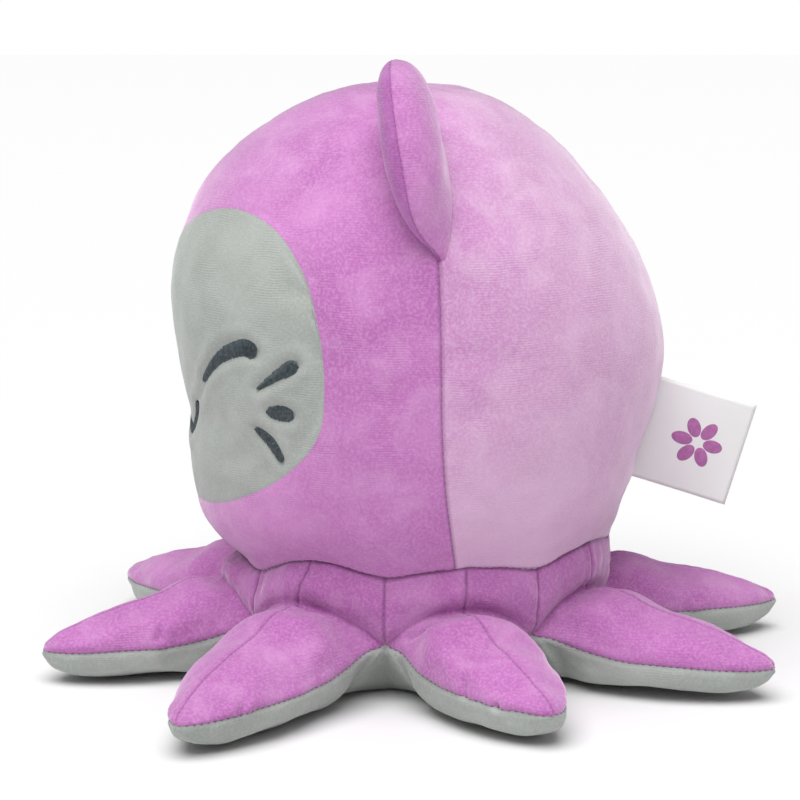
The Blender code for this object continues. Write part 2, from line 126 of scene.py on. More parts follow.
def smooth_line(points, t):
    """Points on a Catmull-Rom curve, for an array of t from 0 to 1."""
    p = np.array(points, float)
    if p.ndim == 1:
        p = p[:, None]
    p = np.vstack((2 * p[0] - p[1], p, 2 * p[-1] - p[-2]))
    spans = len(points) - 1
    place = np.clip(np.asarray(t, float), 0.0, 1.0) * spans
    i = np.minimum(place.astype(int), spans - 1)
    f = (place - i)[..., None]
    a, b, c, d = p[i], p[i + 1], p[i + 2], p[i + 3]
    return 0.5 * (2 * b + (c - a) * f + (2 * a - 5 * b + 4 * c - d) * f ** 2
                  + (3 * b - a - 3 * c + d) * f ** 3)


def smoothstep(x, low, high):
    """0 below low, 1 above high, smooth between."""
    f = np.clip((np.asarray(x, float) - low) / (high - low), 0.0, 1.0)
    return f * f * (3.0 - 2.0 * f)


def lerp(a, b, f):
    """A mix of a and b."""
    return a + (b - a) * f


def linked(name, data):
    """A new object in the scene with this data."""
    obj = bpy.data.objects.new(name, data)
    bpy.context.scene.collection.objects.link(obj)
    return obj


# ---------------------------------------------------------------- the head's surface
def head_point(az, t):
    """Points of the head's surface for arrays of azimuth and of t from seam to crown."""
    az, t = np.broadcast_arrays(np.asarray(az, float), np.asarray(t, float))
    fore = np.maximum(np.cos(az), 0.0)[..., None] ** 2
    aft = np.maximum(-np.cos(az), 0.0)[..., None] ** 2
    flank = np.sin(az)[..., None] ** 2
    rz = (fore * smooth_line(FRONT_LINE, t) + aft * smooth_line(BACK_LINE, t)
          + flank * smooth_line(SIDE_LINE, t))
    r = rz[..., 0]
    return np.stack((r * np.sin(az), -r * np.cos(az), rz[..., 1]), axis=-1)


def side_seam_az(t):
    """Azimuth of the seam between the front and the back panels."""
    low = np.maximum(1.0 - np.asarray(t, float) / 0.35, 0.0)
    return SIDE_SEAM_AZ + SIDE_SEAM_SWEEP * low ** 2


def row_at_height(az, z):
    """The t at which the head's surface has this height, for arrays."""
    az, z = np.broadcast_arrays(np.asarray(az, float), np.asarray(z, float))
    low = np.zeros(az.shape)
    high = np.ones(az.shape)
    for _ in range(32):
        t = (low + high) / 2.0
        under = head_point(az, t)[..., 2] < z
        low = np.where(under, t, low)
        high = np.where(under, high, t)
    return (low + high) / 2.0


def on_face(degrees, z):
    """Points of the head's surface at these azimuths and heights."""
    az = np.radians(degrees)
    return head_point(az, row_at_height(az, z))


# ---------------------------------------------------------------- the head's patchwork
BOTTOM_STEPS = 24
SIDE_STEPS = 40
TOP_STEPS = 8
RING_STEPS = BOTTOM_STEPS + SIDE_STEPS + TOP_STEPS
RING_ROWS = 12
FACE_ROWS = 20
BACK_STEPS = 20
TUCK = 0.0015              # how far the tucked edges of the head and the skirt pass each other
TUCK_IN = 0.94
WAVE_TOP = 0.14            # the t below which the rows follow the lower seam's arches
ARCH_DROP = -0.0028
ARCH_RISE = (0.0058, 0.0070, 0.0038, 0.0052, 0.0048, 0.0056, 0.0062, 0.0050)
ARCH_SOFT = 0.10
HALF_STEP = STEP_AZ / 2.0
ROOT_TURN = math.radians(-3.0)     # the skirt is sewn on a little turned from the tentacles


def mirrored(grid):
    """The grid on the toy's other side."""
    return grid * np.array((-1.0, 1.0, 1.0))


def scallop(az):
    """How far the head's lower seam lies above its plain line; it arches over each tentacle."""
    turn = (az - FIRST_AZ - ROOT_TURN + HALF_STEP) / STEP_AZ
    rise = np.array(ARCH_RISE)[np.floor(turn).astype(int) % TENTACLES]
    arch = np.sqrt(np.sin(math.pi * turn) ** 2 + ARCH_SOFT ** 2) - ARCH_SOFT
    return ARCH_DROP + rise * arch


def with_wave(grid, t):
    """Bend the rows next to the head's lower seam along with it."""
    az = np.arctan2(grid[..., 0], -grid[..., 1])
    grid = grid.copy()
    grid[..., 2] += scallop(az) * (1.0 - smoothstep(t, 0.0, WAVE_TOP))
    return grid


def ring_border():
    """Azimuth and t round a front panel's outer edge, from the bottom middle to the top."""
    az = list(np.linspace(0.0, side_seam_az(0.0), BOTTOM_STEPS + 1))
    t = [0.0] * (BOTTOM_STEPS + 1)
    for step in range(1, SIDE_STEPS + 1):
        t.append(TOP_T * step / SIDE_STEPS)
        az.append(float(side_seam_az(t[-1])))
    for a in np.linspace(SIDE_SEAM_AZ, 0.0, TOP_STEPS + 1)[1:]:
        az.append(float(a))
        t.append(TOP_T)
    return np.array(az), np.array(t)


def face_border():
    """Azimuth and t along the face panel's left outline, from the bottom middle to the top."""
    outline = smooth_line(FACE_LINE, np.linspace(0.0, 1.0, RING_STEPS + 1))
    az = np.radians(np.maximum(outline[:, 0], 0.0))
    return az, row_at_height(az, outline[:, 1])


def front_half():
    """The left front panel, as rings from the face panel's outline to the outer edge."""
    az_out, t_out = ring_border()
    az_in, t_in = face_border()
    f = np.linspace(0.0, 1.0, RING_ROWS + 1)[:, None]
    t = lerp(t_in, t_out, f)
    return head_point(lerp(az_in, az_out, f), t), t


def face_half():
    """The left half of the face panel, as lines from its lower to its upper edge."""
    az, t = face_border()
    half = RING_STEPS // 2
    i = np.arange(half + 1)
    f = np.linspace(0.0, 1.0, FACE_ROWS + 1)[:, None]
    return head_point(lerp(az[half - i], az[half + i], f), lerp(t[half - i], t[half + i], f))


def back_half():
    """The left back panel, from the side seam to the back seam."""
    t = (TOP_T * np.arange(SIDE_STEPS + 1) / SIDE_STEPS)[:, None]
    f = np.linspace(0.0, 1.0, BACK_STEPS + 1)[None, :]
    return head_point(lerp(side_seam_az(t), math.pi, f), t), t


def crown_fan(edge):
    """Two rows that close a panel's top edge on the crown."""
    crown = head_point(0.0, 1.0)
    return np.stack((edge, np.broadcast_to(crown, edge.shape)))


def tucked_row(edge, drop):
    """Two rows that turn a panel's edge in behind the seam."""
    inner = edge * np.array((TUCK_IN, TUCK_IN, 1.0))
    inner[:, 2] += drop
    return np.stack((inner, edge))


def head_grids():
    """Every grid of the head, with its panel's number."""
    ring, ring_t = front_half()
    rest, rest_t = back_half()
    face = face_half()
    grids = []
    for flip, front_id, back_id in ((False, FRONT_LEFT, BACK_LEFT), (True, FRONT_RIGHT, BACK_RIGHT)):
        front = with_wave(mirrored(ring) if flip else ring, ring_t)
        back = with_wave(mirrored(rest) if flip else rest, rest_t)
        grids += [
            (front, front_id),
            (crown_fan(front[-1, BOTTOM_STEPS + SIDE_STEPS:]), front_id),
            (tucked_row(front[-1, :BOTTOM_STEPS + 1], -TUCK), front_id + TUCKED),
            (back, back_id),
            (crown_fan(back[-1]), back_id),
            (tucked_row(back[0], -TUCK), back_id + TUCKED),
            (mirrored(face) if flip else face, FACE),
        ]
    return grids


# ---------------------------------------------------------------- the lower body
ARM_COLUMNS = 8            # from a tentacle's ridge to its sole seam
SKIRT_ROWS = 4
ARM_ROWS = 18
HUB_ROWS = 12
CROTCH_R = 0.0765
CROTCH_Z = 0.0212
CROTCH_ROUND = 0.0060              # radius of the rounded cloth between two tentacles
CREASE_R = 0.0790
CREASE_Z = 0.0360
ROOT_HALF = CROTCH_R * math.sin(HALF_STEP)
WEB = (0.056, 0.086)               # radii between which the sole rises to the crotch
SIDE_SEAM_Z = 0.0146
TIP_SEAM_Z = 0.0128
TIP_TOP_Z = 0.0190
TIP_BLUNT = 7.0                    # higher is blunter, seen from the side
TIP_TAPER = (2.2, 0.60)
ROOT_FALL = (-0.10, 0.46)          # where along a tentacle its sole seam comes down
TIP_FALL = (0.55, 1.0)
ROOT_BULGE = (0.0034, 0.16, 0.13)  # height of the stuffing's bulge, its place and its width
MID_BULGE = 0.0016
SKIRT_BULGE = 0.0022
RIDGE_ROUND = 0.82                 # lower is rounder across the ridge
HUB_SPREAD = 0.8                   # how the hub's rows are spaced from the middle out
HUB_PLAIN = 0.040                  # radius within which the hub is a plain disc
SOLE_ROUND = (0.70, 0.66)          # how full a sole's section is, across and up
# sideways shift of each tentacle's ridge and turn of its tip, front left one first
RIDGE_SHIFT = (0.002, -0.005, -0.001, 0.001, -0.001, 0.002, -0.002, 0.001)
TIP_TURN = (0.0, -2.5, 2.5, -1.0, -4.0, -1.5, 1.0, -7.0)
ARM_WIDTH = (1.0, 1.0, 0.96, 1.0, 1.0, 0.98, 1.02, 1.0)


def crease(v):
    """Out, across and up on the crease over a tentacle's root; v is 0 on the ridge."""
    r = lerp(CREASE_R, CROTCH_R, v ** 2)
    z = CROTCH_Z + (CREASE_Z - CROTCH_Z) * (1.0 - v ** 2.2)
    return r * np.cos(HALF_STEP * v), r * np.sin(HALF_STEP * v), z


def along(u):
    """How far out a row lies, 0 at the root and 1 at the tip; the rows are closer at both."""
    return 0.5 - 0.5 * np.cos(math.pi * u)


def edge_half(out):
    """Half width of a tentacle's root at this distance out, with the rounding beside it."""
    apex = CROTCH_R - CROTCH_ROUND * (1.0 / math.sin(HALF_STEP) - 1.0)
    turn = np.linspace(0.0, math.pi / 2.0 - HALF_STEP, 14)
    from_axis = apex + CROTCH_ROUND / math.sin(HALF_STEP) - CROTCH_ROUND * np.cos(turn)
    from_line = CROTCH_ROUND * np.sin(turn)
    round_out = from_axis * math.cos(HALF_STEP) + from_line * math.sin(HALF_STEP)
    round_across = from_axis * math.sin(HALF_STEP) - from_line * math.cos(HALF_STEP)
    return np.interp(out, round_out, round_across)


def arm_profile(n, u):
    """Half width, sole seam height, top height and underside of a tentacle's rows."""
    f = along(u)
    end = np.sqrt(np.clip(1.0 - f ** TIP_BLUNT, 0.0, 1.0))
    half = edge_half(lerp(CROTCH_R * math.cos(HALF_STEP), REACH + REACH_CHANGE[n], f))
    half = half * np.clip(1.0 - f ** TIP_TAPER[0], 0.0, 1.0) ** TIP_TAPER[1]
    half = half * lerp(1.0, ARM_WIDTH[n], smoothstep(f, 0.0, 0.5))
    fall = smoothstep(f, *ROOT_FALL)
    fall = (fall - fall.min()) / (1.0 - fall.min())
    seam = lerp(CROTCH_Z, SIDE_SEAM_Z, fall)
    seam = lerp(seam, TIP_SEAM_Z, smoothstep(f, *TIP_FALL))
    high, at, wide = ROOT_BULGE
    bulge = high * np.exp(-((f - at) / wide) ** 2) + MID_BULGE * np.sin(math.pi * f)
    top = lerp(CREASE_Z, TIP_TOP_Z, f ** 0.95) + bulge * (1.0 - (1.0 - f) ** 12)
    top = seam + (top - seam) * end
    bottom = seam * (1.0 - end)
    return half, seam, top, bottom


def place(n, out, across, up, f):
    """World points from a tentacle's own out, across and up; f is 0 at the root, 1 at the tip."""
    turn = lerp(ROOT_TURN, math.radians(TIP_TURN[n]), f)
    az = FIRST_AZ + n * STEP_AZ + turn
    x = out * np.sin(az) + across * np.cos(az)
    y = -out * np.cos(az) + across * np.sin(az)
    return np.stack(np.broadcast_arrays(x, y, up), axis=-1)


def head_seam(az):
    """Points of the seam between the head and the skirt; it rises over each tentacle."""
    points = head_point(az, 0.0)
    points[..., 2] += scallop(np.asarray(az))
    return points


def arm_top(n, side):
    """The skirt's part and the tentacle's part of a half panel, from head seam to tip."""
    reach = REACH + REACH_CHANGE[n]
    v = np.linspace(0.0, 1.0, ARM_COLUMNS + 1)
    seam = head_seam(FIRST_AZ + ROOT_TURN + n * STEP_AZ + side * HALF_STEP * v)
    out_c, across_c, z_c = crease(v)
    shift = RIDGE_SHIFT[n] * (1.0 - v ** 2)
    fold = place(n, out_c, side * across_c + shift, z_c, 0.0)
    rows = []
    for f in np.linspace(0.0, 1.0, SKIRT_ROWS + 1):
        row = lerp(seam, fold, f)
        away = row * np.array((1.0, 1.0, 0.0))
        away /= np.linalg.norm(away, axis=1)[:, None]
        rows.append(row + away * SKIRT_BULGE * math.sin(math.pi * f))
    u = np.linspace(0.0, 1.0, ARM_ROWS + 1)
    half, seam_z, top_z, _ = (x[:, None] for x in arm_profile(n, u))
    f = along(u)[:, None]
    w = smoothstep(f, 0.0, 0.36)
    spread = lerp(across_c / across_c[-1], np.sin(math.pi / 2.0 * v) ** 0.95, w)
    rise = lerp((z_c - CROTCH_Z) / (CREASE_Z - CROTCH_Z), np.cos(math.pi / 2.0 * v) ** RIDGE_ROUND, w)
    out = lerp(out_c, reach, f)
    across = side * half * spread + shift * (half / ROOT_HALF)
    grid = place(n, out, across, seam_z + (top_z - seam_z) * rise, f)
    return np.array(rows), grid


def arm_sole(n):
    """The grey sole of a tentacle with its sector of the hub, from the middle to the tip."""
    reach = REACH + REACH_CHANGE[n]
    c = np.linspace(-1.0, 1.0, 2 * ARM_COLUMNS + 1)
    angle = math.pi / 2.0 * np.abs(c)
    wide = np.sign(c) * np.sin(angle) ** SOLE_ROUND[0]
    lift = 1.0 - np.cos(angle) ** SOLE_ROUND[1]
    web = np.sin(angle) ** 2
    q = np.linspace(0.0, 1.0, HUB_ROWS + 1)[:-1, None]
    r = CROTCH_R * q ** HUB_SPREAD
    w = smoothstep(r, HUB_PLAIN, CROTCH_R)
    across = r * math.sin(HALF_STEP) * lerp(np.sin(HALF_STEP * c) / math.sin(HALF_STEP), wide, w)
    out = r * np.cos(HALF_STEP * c)
    up = CROTCH_Z * smoothstep(r, *WEB) / float(smoothstep(CROTCH_R, *WEB)) * web
    hub = place(n, out, across, up, 0.0)
    u = np.linspace(0.0, 1.0, ARM_ROWS + 1)[:, None]
    half, seam, _, bottom = arm_profile(n, u)
    f = along(u)
    out = lerp(CROTCH_R * np.cos(HALF_STEP * c), reach, f)
    rise = lerp(web, lift, smoothstep(f, 0.0, 0.16))
    arm = place(n, out, half * wide, bottom + (seam - bottom) * rise, f)
    return np.vstack((hub, arm))


def body_grids():
    """Every grid of the lower body, with its panel's number."""
    grids = []
    for n in range(TENTACLES):
        for side, first in ((1.0, ARM_LEFT), (-1.0, ARM_RIGHT)):
            skirt, arm = arm_top(n, side)
            grids.append((skirt, first + n + SKIRT))
            grids.append((arm, first + n))
            grids.append((tucked_row(skirt[0], TUCK), first + n + TUCKED))
        grids.append((arm_sole(n), SOLE + n))
    return grids


# ---------------------------------------------------------------- patchwork to mesh
MERGE = 0.00002
CREASE_SHARP = 0.35        # how much of the crease stays sharp when the mesh is refined
TINY = 1e-9
SIM_FRAMES = 20
SLACK = 0.8 * MM           # how far the cloth is drawn in before it is puffed up
CLOTH = {
    "quality": 6, "mass": 0.15, "tension_stiffness": 12.0, "compression_stiffness": 12.0,
    "shear_stiffness": 6.0, "bending_stiffness": 0.6, "use_pressure": True,
    "uniform_pressure_force": 4.0, "vertex_group_mass": "held",
}


def grid_faces(rows, cols, base=0):
    """The quads of a grid whose points are numbered row by row from base."""
    corners = [base + i * cols + j for i in range(rows - 1) for j in range(cols - 1)]
    return [(a, a + 1, a + cols + 1, a + cols) for a in corners]


def ring_faces(rings, sides, base):
    """The quads between closed rings whose points are numbered ring by ring from base."""
    places = [(base + i * sides, j, (j + 1) % sides) for i in range(rings - 1) for j in range(sides)]
    return [(a + j, a + k, a + sides + k, a + sides + j) for a, j, k in places]


def quilt(name, grids):
    """One mesh from all the grids, merged along the seams, with every face's panel number."""
    verts = []
    faces = []
    panels = []
    for grid, number in grids:
        quads = grid_faces(*grid.shape[:2], len(verts))
        verts += [tuple(p) for p in grid.reshape(-1, 3)]
        faces += quads
        panels += [number] * len(quads)
    mesh = bpy.data.meshes.new(name)
    mesh.from_pydata(verts, [], faces)
    bm = bmesh.new()
    bm.from_mesh(mesh)
    layer = bm.faces.layers.int.new("panel")
    for face, number in zip(bm.faces, panels):
        face[layer] = number
    bmesh.ops.remove_doubles(bm, verts=bm.verts, dist=MERGE)
    bmesh.ops.recalc_face_normals(bm, faces=bm.faces)
    sharp = bm.edges.layers.float.new("crease_edge")
    for edge in bm.edges:
        found = sorted({face[layer] for face in edge.link_faces})
        if len(found) == 2 and any(TUCKED <= number < SKIRT for number in found):
            edge[sharp] = 1.0
        elif len(found) == 2 and found[1] - SKIRT == found[0]:
            edge[sharp] = CREASE_SHARP
    bm.to_mesh(mesh)
    bm.free()
    return linked(name, mesh)


def panel_numbers(mesh):
    """The panel number of every face."""
    numbers = np.zeros(len(mesh.polygons), int)
    mesh.attributes["panel"].data.foreach_get("value", numbers)
    return numbers


def coordinates(mesh):
    """The mesh's points as an array."""
    co = np.zeros(len(mesh.vertices) * 3)
    mesh.vertices.foreach_get("co", co)
    return co.reshape(-1, 3)


def move_points(mesh, co):
    """Give the mesh's points new places."""
    mesh.vertices.foreach_set("co", co.ravel())


def seam_kinds(mesh):
    """The kind of seam that each vertex lies on, or an empty word."""
    numbers = panel_numbers(mesh)
    low = np.full(len(mesh.vertices), 10 ** 6)
    high = np.full(len(mesh.vertices), -1)
    loops = np.zeros(len(mesh.loops), int)
    mesh.loops.foreach_get("vertex_index", loops)
    totals = np.zeros(len(mesh.polygons), int)
    mesh.polygons.foreach_get("loop_total", totals)
    per_loop = np.repeat(numbers, totals)
    np.minimum.at(low, loops, per_loop)
    np.maximum.at(high, loops, per_loop)
    kinds = np.full(len(low), "", dtype="U8")
    kinds[low != high] = "seam"
    kinds[(low == EAR_FRONT) & (high == EAR_BACK)] = "rim"
    kinds[(low == FACE) & (high != FACE)] = "face"
    arm_low = (low >= ARM_LEFT) & (low < SOLE)
    arm_high = (high >= ARM_LEFT) & (high < SOLE)
    kinds[arm_low & arm_high & (low != high)] = "ridge"
    kinds[arm_low & (high >= SKIRT)] = "crease"
    kinds[arm_low & (high >= SOLE) & (high < TUCKED)] = "sole"
    kinds[(low >= SOLE) & (low < TUCKED) & (high < TUCKED)] = ""
    kinds[(low >= SKIRT) & (high >= SKIRT) & (low != high)] = "upright"
    kinds[(low >= TUCKED) & (high >= SKIRT) & (low < SKIRT)] = "neck"
    kinds[(low < TUCKED) & (high >= TUCKED) & (high < SKIRT)] = "neck"
    return kinds


def puff(obj, held, cap, grow):
    """Swell the cloth by a short simulation under pressure, held at some vertices."""
    before = coordinates(obj.data)
    start = before - normals(obj.data) * (SLACK * (1.0 - held.astype(float)))[:, None]
    move_points(obj.data, start)
    group = obj.vertex_groups.new(name="held")
    group.add([int(i) for i in np.nonzero(held)[0]], 1.0, "REPLACE")
    cloth = obj.modifiers.new("cloth", "CLOTH")
    for key, value in CLOTH.items():
        setattr(cloth.settings, key, value)
    cloth.settings.shrink_min = -grow
    cloth.settings.effector_weights.gravity = 0.0
    cloth.collision_settings.use_collision = False
    cloth.collision_settings.use_self_collision = False
    cloth.point_cache.frame_start = 1
    cloth.point_cache.frame_end = SIM_FRAMES
    scene = bpy.context.scene
    for number in range(1, SIM_FRAMES + 1):
        scene.frame_set(number)
    graph = bpy.context.evaluated_depsgraph_get()
    after = coordinates(obj.evaluated_get(graph).to_mesh())
    obj.evaluated_get(graph).to_mesh_clear()
    obj.modifiers.remove(cloth)
    obj.vertex_groups.clear()
    scene.frame_set(1)
    move = after - before
    length = np.maximum(np.linalg.norm(move, axis=1), TINY)[:, None]
    move *= cap * np.tanh(length / cap) / length
    move_points(obj.data, before + move)


def refined(obj, levels):
    """The mesh after subdivision, in place of the object's own."""
    sub = obj.modifiers.new("fine", "SUBSURF")
    sub.levels = levels
    sub.render_levels = levels
    sub.boundary_smooth = "ALL"
    graph = bpy.context.evaluated_depsgraph_get()
    mesh = bpy.data.meshes.new_from_object(obj.evaluated_get(graph))
    obj.modifiers.remove(sub)
    obj.data = mesh
    return mesh


def nearest(points, targets):
    """Distance from each point to the nearest target."""
    tree = kdtree.KDTree(len(targets))
    for i, p in enumerate(targets):
        tree.insert(p, i)
    tree.balance()
    return np.array([tree.find(p)[2] for p in points])


def lumps(points, size, seed):
    """Smooth noise at each point, about -1 to 1, with features of this size."""
    shift = Vector((seed, -seed * 0.7, seed * 1.3))
    return np.array([noise.noise(Vector(p) / size + shift) for p in points])


def normals(mesh):
    """The mesh's vertex normals as an array."""
    no = np.zeros(len(mesh.vertices) * 3)
    mesh.vertex_normals.foreach_get("vector", no)
    return no.reshape(-1, 3)


# for each kind of seam: depth, width, shoulder height, puckers and how dark its line is
SEAMS = {
    "seam": (0.60 * MM, 0.70 * MM, 0.25 * MM, 0.30 * MM, 0.55),
    "neck": (0.40 * MM, 0.65 * MM, 0.15 * MM, 0.30 * MM, 0.60),
    "upright": (0.50 * MM, 0.65 * MM, 0.20 * MM, 0.30 * MM, 0.60),
    "ridge": (0.40 * MM, 0.60 * MM, 0.25 * MM, 0.30 * MM, 0.40),
    "sole": (0.50 * MM, 0.75 * MM, 0.20 * MM, 0.50 * MM, 0.35),
    "rim": (0.22 * MM, 0.60 * MM, 0.10 * MM, 0.25 * MM, 0.35),
    "face": (0.12 * MM, 0.80 * MM, 0.00 * MM, 0.12 * MM, 0.10),
    "crease": (1.60 * MM, 2.00 * MM, 0.20 * MM, 0.30 * MM, 0.30),
}
LINE_WIDTH = 0.45 * MM
SHOULDER = (3.2, 1.9)              # place and width of a seam's shoulder, in widths of its valley
PUCKER_SIZES = (3.4 * MM, 8.0 * MM)
PUCKER_REACH = (4.0 * MM, 11.0 * MM)
LUMP_SIZES = (26.0 * MM, 12.0 * MM)
LUMP_CLEAR = 8.0 * MM              # how far from a seam the lumps begin

# short folds on the tentacles: the tentacle, its side, and rows and columns of both ends
FOLDS = (
    (2, -1.0, (10.4, 7.8), (9.8, 5.4)), (2, -1.0, (12.7, 7.8), (11.9, 4.4)),
    (2, -1.0, (2.2, 6.4), (3.6, 3.0)), (3, 1.0, (7.0, 6.8), (6.2, 4.6)),
    (4, -1.0, (9.0, 6.8), (8.4, 4.2)), (0, 1.0, (8.4, 7.0), (7.6, 4.6)),
    (6, 1.0, (10.0, 7.0), (9.0, 4.6)), (1, 1.0, (12.4, 7.2), (11.8, 5.4)),
)
FOLD_DEPTH = 1.7 * MM
FOLD_WIDTH = 1.3 * MM


def grid_place(grid, row, col):
    """The point of a grid at this row and column, which need not be whole."""
    i = int(row)
    j = int(col)
    low = lerp(grid[i, j], grid[i, j + 1], col - j)
    high = lerp(grid[i + 1, j], grid[i + 1, j + 1], col - j)
    return lerp(low, high, row - i)


def fold_push(co):
    """How far the short folds pull each point in."""
    push = np.zeros(len(co))
    for n, side, first, last in FOLDS:
        grid = arm_top(n, side)[1]
        start = grid_place(grid, *first)
        run = grid_place(grid, *last) - start
        f = np.clip((co - start) @ run / np.linalg.norm(run) ** 2, 0.0, 1.0)
        d = np.linalg.norm(co - (start + f[:, None] * run), axis=1) / FOLD_WIDTH
        fade = 1.0 - 0.7 * f
        push -= FOLD_DEPTH * fade * np.exp(-d ** 2)
        push += 0.4 * FOLD_DEPTH * fade * np.exp(-((d - 2.4) / 1.3) ** 2)
    return push


def sculpt(mesh, lump, seed):
    """Sink the seams, raise a soft shoulder beside them, and add puckers and lumps."""
    co = coordinates(mesh)
    kinds = seam_kinds(mesh)
    push = np.zeros(len(co))
    line = np.zeros(len(co))
    closest = np.full(len(co), 1.0)
    small = lumps(co, PUCKER_SIZES[0], seed)
    large = lumps(co, PUCKER_SIZES[1], seed + 3.0)
    for kind, (depth, width, shoulder, pucker, dark) in SEAMS.items():
        if not (kinds == kind).any():
            continue
        d = nearest(co, co[kinds == kind])
        push -= depth * np.exp(-(d / width) ** 2)
        push += shoulder * np.exp(-((d / width - SHOULDER[0]) / SHOULDER[1]) ** 2)
        push += pucker * np.exp(-d / PUCKER_REACH[0]) * small * (1.0 - np.exp(-(d / width) ** 2))
        push += pucker * 1.2 * np.exp(-d / PUCKER_REACH[1]) * large
        line = np.maximum(line, dark * np.exp(-(d / LINE_WIDTH) ** 2))
        closest = np.minimum(closest, d)
    away = 1.0 - np.exp(-(closest / LUMP_CLEAR) ** 2)
    big, less = (lumps(co, size, seed + step) for size, step in zip(LUMP_SIZES, (7.0, 11.0)))
    push += lump * away * (big + 0.45 * less)
    move_points(mesh, co + normals(mesh) * push[:, None])
    mesh.attributes.new("seam_line", "FLOAT", "POINT").data.foreach_set("value", line)
    return closest


# ---------------------------------------------------------------- materials
class Recipe:
    """A material, with helpers that add nodes to it; a value is a number, a colour or a socket."""

    def __init__(self, name):
        self.mat = bpy.data.materials.new(name)
        self.mat.use_nodes = True
        self.shader = self.mat.node_tree.nodes["Principled BSDF"]
        self.where = self.add("TexCoord").outputs["Object"]

    def put_one(self, socket, value):
        """Set or link one input."""
        if isinstance(value, bpy.types.NodeSocket):
            self.mat.node_tree.links.new(value, socket)
        else:
            socket.default_value = (*value, 1.0) if isinstance(value, tuple) else value

    def put(self, node, **values):
        """Set or link the node's inputs; an underline in a name stands for a space."""
        for key, value in values.items():
            self.put_one(node.inputs[key.replace("_", " ")], value)

    def add(self, kind, settings=None, **values):
        """A node with these settings and inputs."""
        node = self.mat.node_tree.nodes.new("ShaderNode" + kind)
        for key, value in (settings or {}).items():
            setattr(node, key, value)
        self.put(node, **values)
        return node

    def noise(self, **values):
        """A noise pattern."""
        return self.add("TexNoise", Vector=self.where, **values).outputs["Fac"]

    def bands(self, **values):
        """Level bands, as of ribs or threads."""
        settings = {"wave_type": "BANDS", "bands_direction": "Z", "wave_profile": "SIN"}
        return self.add("TexWave", settings, Vector=self.where, **values).outputs["Fac"]

    def mixed(self, factor, first, second):
        """A mix of two colours."""
        return self.add("Mix", {"data_type": "RGBA"}, Factor=factor, A=first, B=second).outputs["Result"]

    def ramped(self, source, low, high, top=1.0):
        """The source mapped from low..high to 0..top, smoothly."""
        node = self.add("MapRange", {"interpolation_type": "SMOOTHSTEP"}, Value=source,
                        From_Min=low, From_Max=high, To_Max=top)
        return node.outputs["Result"]

    def spread(self, source, low, high):
        """The source's 0..1 mapped to low..high."""
        return self.add("MapRange", Value=source, To_Min=low, To_Max=high).outputs["Result"]

    def maths(self, operation, *values):
        """The result of a sum or product."""
        node = self.add("Math", {"operation": operation})
        for number, value in enumerate(values):
            self.put_one(node.inputs[number], value)
        return node.outputs["Value"]

    def done(self, **values):
        """The material, its shader set to these values."""
        self.put(self.shader, **values)
        return self.mat


def plush(name, colour, light, dark, sheen, tint, fore=None, painted_light_y=(0.0, 1.0), painted_low_light=0.0):
    """Short brushed plush: a mottled nap over fine knit ribs, with darker seams.

    A fore colour is painted light and shade towards the toy's front, between the two places
    painted_light_y along Y:
    a lighter tone on the front panels and a deeper one on the back panels. painted_low_light is how much
    paler it is painted low down, as painted light.
    """
    m = Recipe(name)
    nap = m.noise(Scale=62.0, Detail=3.0, Roughness=0.55, Distortion=0.6)
    wide = m.noise(Scale=17.0, Detail=2.0, Roughness=0.5, Distortion=0.3)
    tuft = m.noise(Scale=900.0, Detail=2.0, Roughness=0.6)
    patch = m.noise(Scale=75.0, Detail=1.0, Roughness=0.5)
    ribs = m.bands(Scale=330.0, Distortion=7.0, Detail=2.0, Detail_Scale=0.22, Detail_Roughness=0.6)
    worn = m.maths("MULTIPLY", ribs, m.ramped(patch, 0.42, 0.66))
    seam = m.add("Attribute", {"attribute_name": "seam_line"}).outputs["Fac"]
    base = colour
    # Painted light and shade: the fore colour towards the toy's front, and a paler tone low down.
    if fore:
        split = m.add("SeparateXYZ", Vector=m.where).outputs
        drift = m.maths("MULTIPLY_ADD", wide, 0.06, split["Y"])
        base = m.mixed(m.ramped(drift, *painted_light_y), fore, colour)
        base = m.mixed(m.ramped(split["Z"], 0.135, 0.060, painted_low_light), base, light)
    tone = m.mixed(m.ramped(wide, 0.30, 0.70, 0.55), base, dark)
    tone = m.mixed(m.ramped(nap, 0.38, 0.78, 0.42), tone, light)
    tone = m.mixed(m.ramped(tuft, 0.35, 0.75, 0.45), tone, light)
    tone = m.mixed(m.spread(worn, 0.0, 0.10), tone, dark)
    tone = m.mixed(seam, tone, tuple(c * 0.45 for c in dark))
    pile = m.maths("MULTIPLY_ADD", tuft, 2.2, worn)
    bump = m.add("Bump", Strength=0.22, Distance=0.0005, Height=pile)
    return m.done(Base_Color=tone, Roughness=m.spread(nap, 0.78, 0.96), Normal=bump.outputs["Normal"],
                  Specular_IOR_Level=0.15, Sheen_Weight=sheen, Sheen_Roughness=0.45, Sheen_Tint=tint)


def thread_finish(name, colour, light, roughness):
    """Glossy rayon thread, a little uneven in tone."""
    m = Recipe(name)
    uneven = m.noise(Scale=700.0, Detail=2.0, Roughness=0.6)
    return m.done(Base_Color=m.mixed(m.ramped(uneven, 0.35, 0.7), colour, light),
                  Roughness=m.spread(uneven, roughness - 0.08, roughness + 0.10),
                  Specular_IOR_Level=0.4, Sheen_Weight=0.2)


def satin_finish():
    """White woven satin with fine threads."""
    m = Recipe("white_satin_weave")
    weave = m.bands(Scale=900.0, Distortion=0.4)
    cloud = m.noise(Scale=90.0, Detail=3.0)
    bump = m.add("Bump", Strength=0.25, Distance=0.0002, Height=weave)
    return m.done(Base_Color=m.mixed(weave, (0.80, 0.80, 0.79), (0.90, 0.90, 0.895)),
                  Roughness=m.spread(cloud, 0.34, 0.50), Normal=bump.outputs["Normal"])


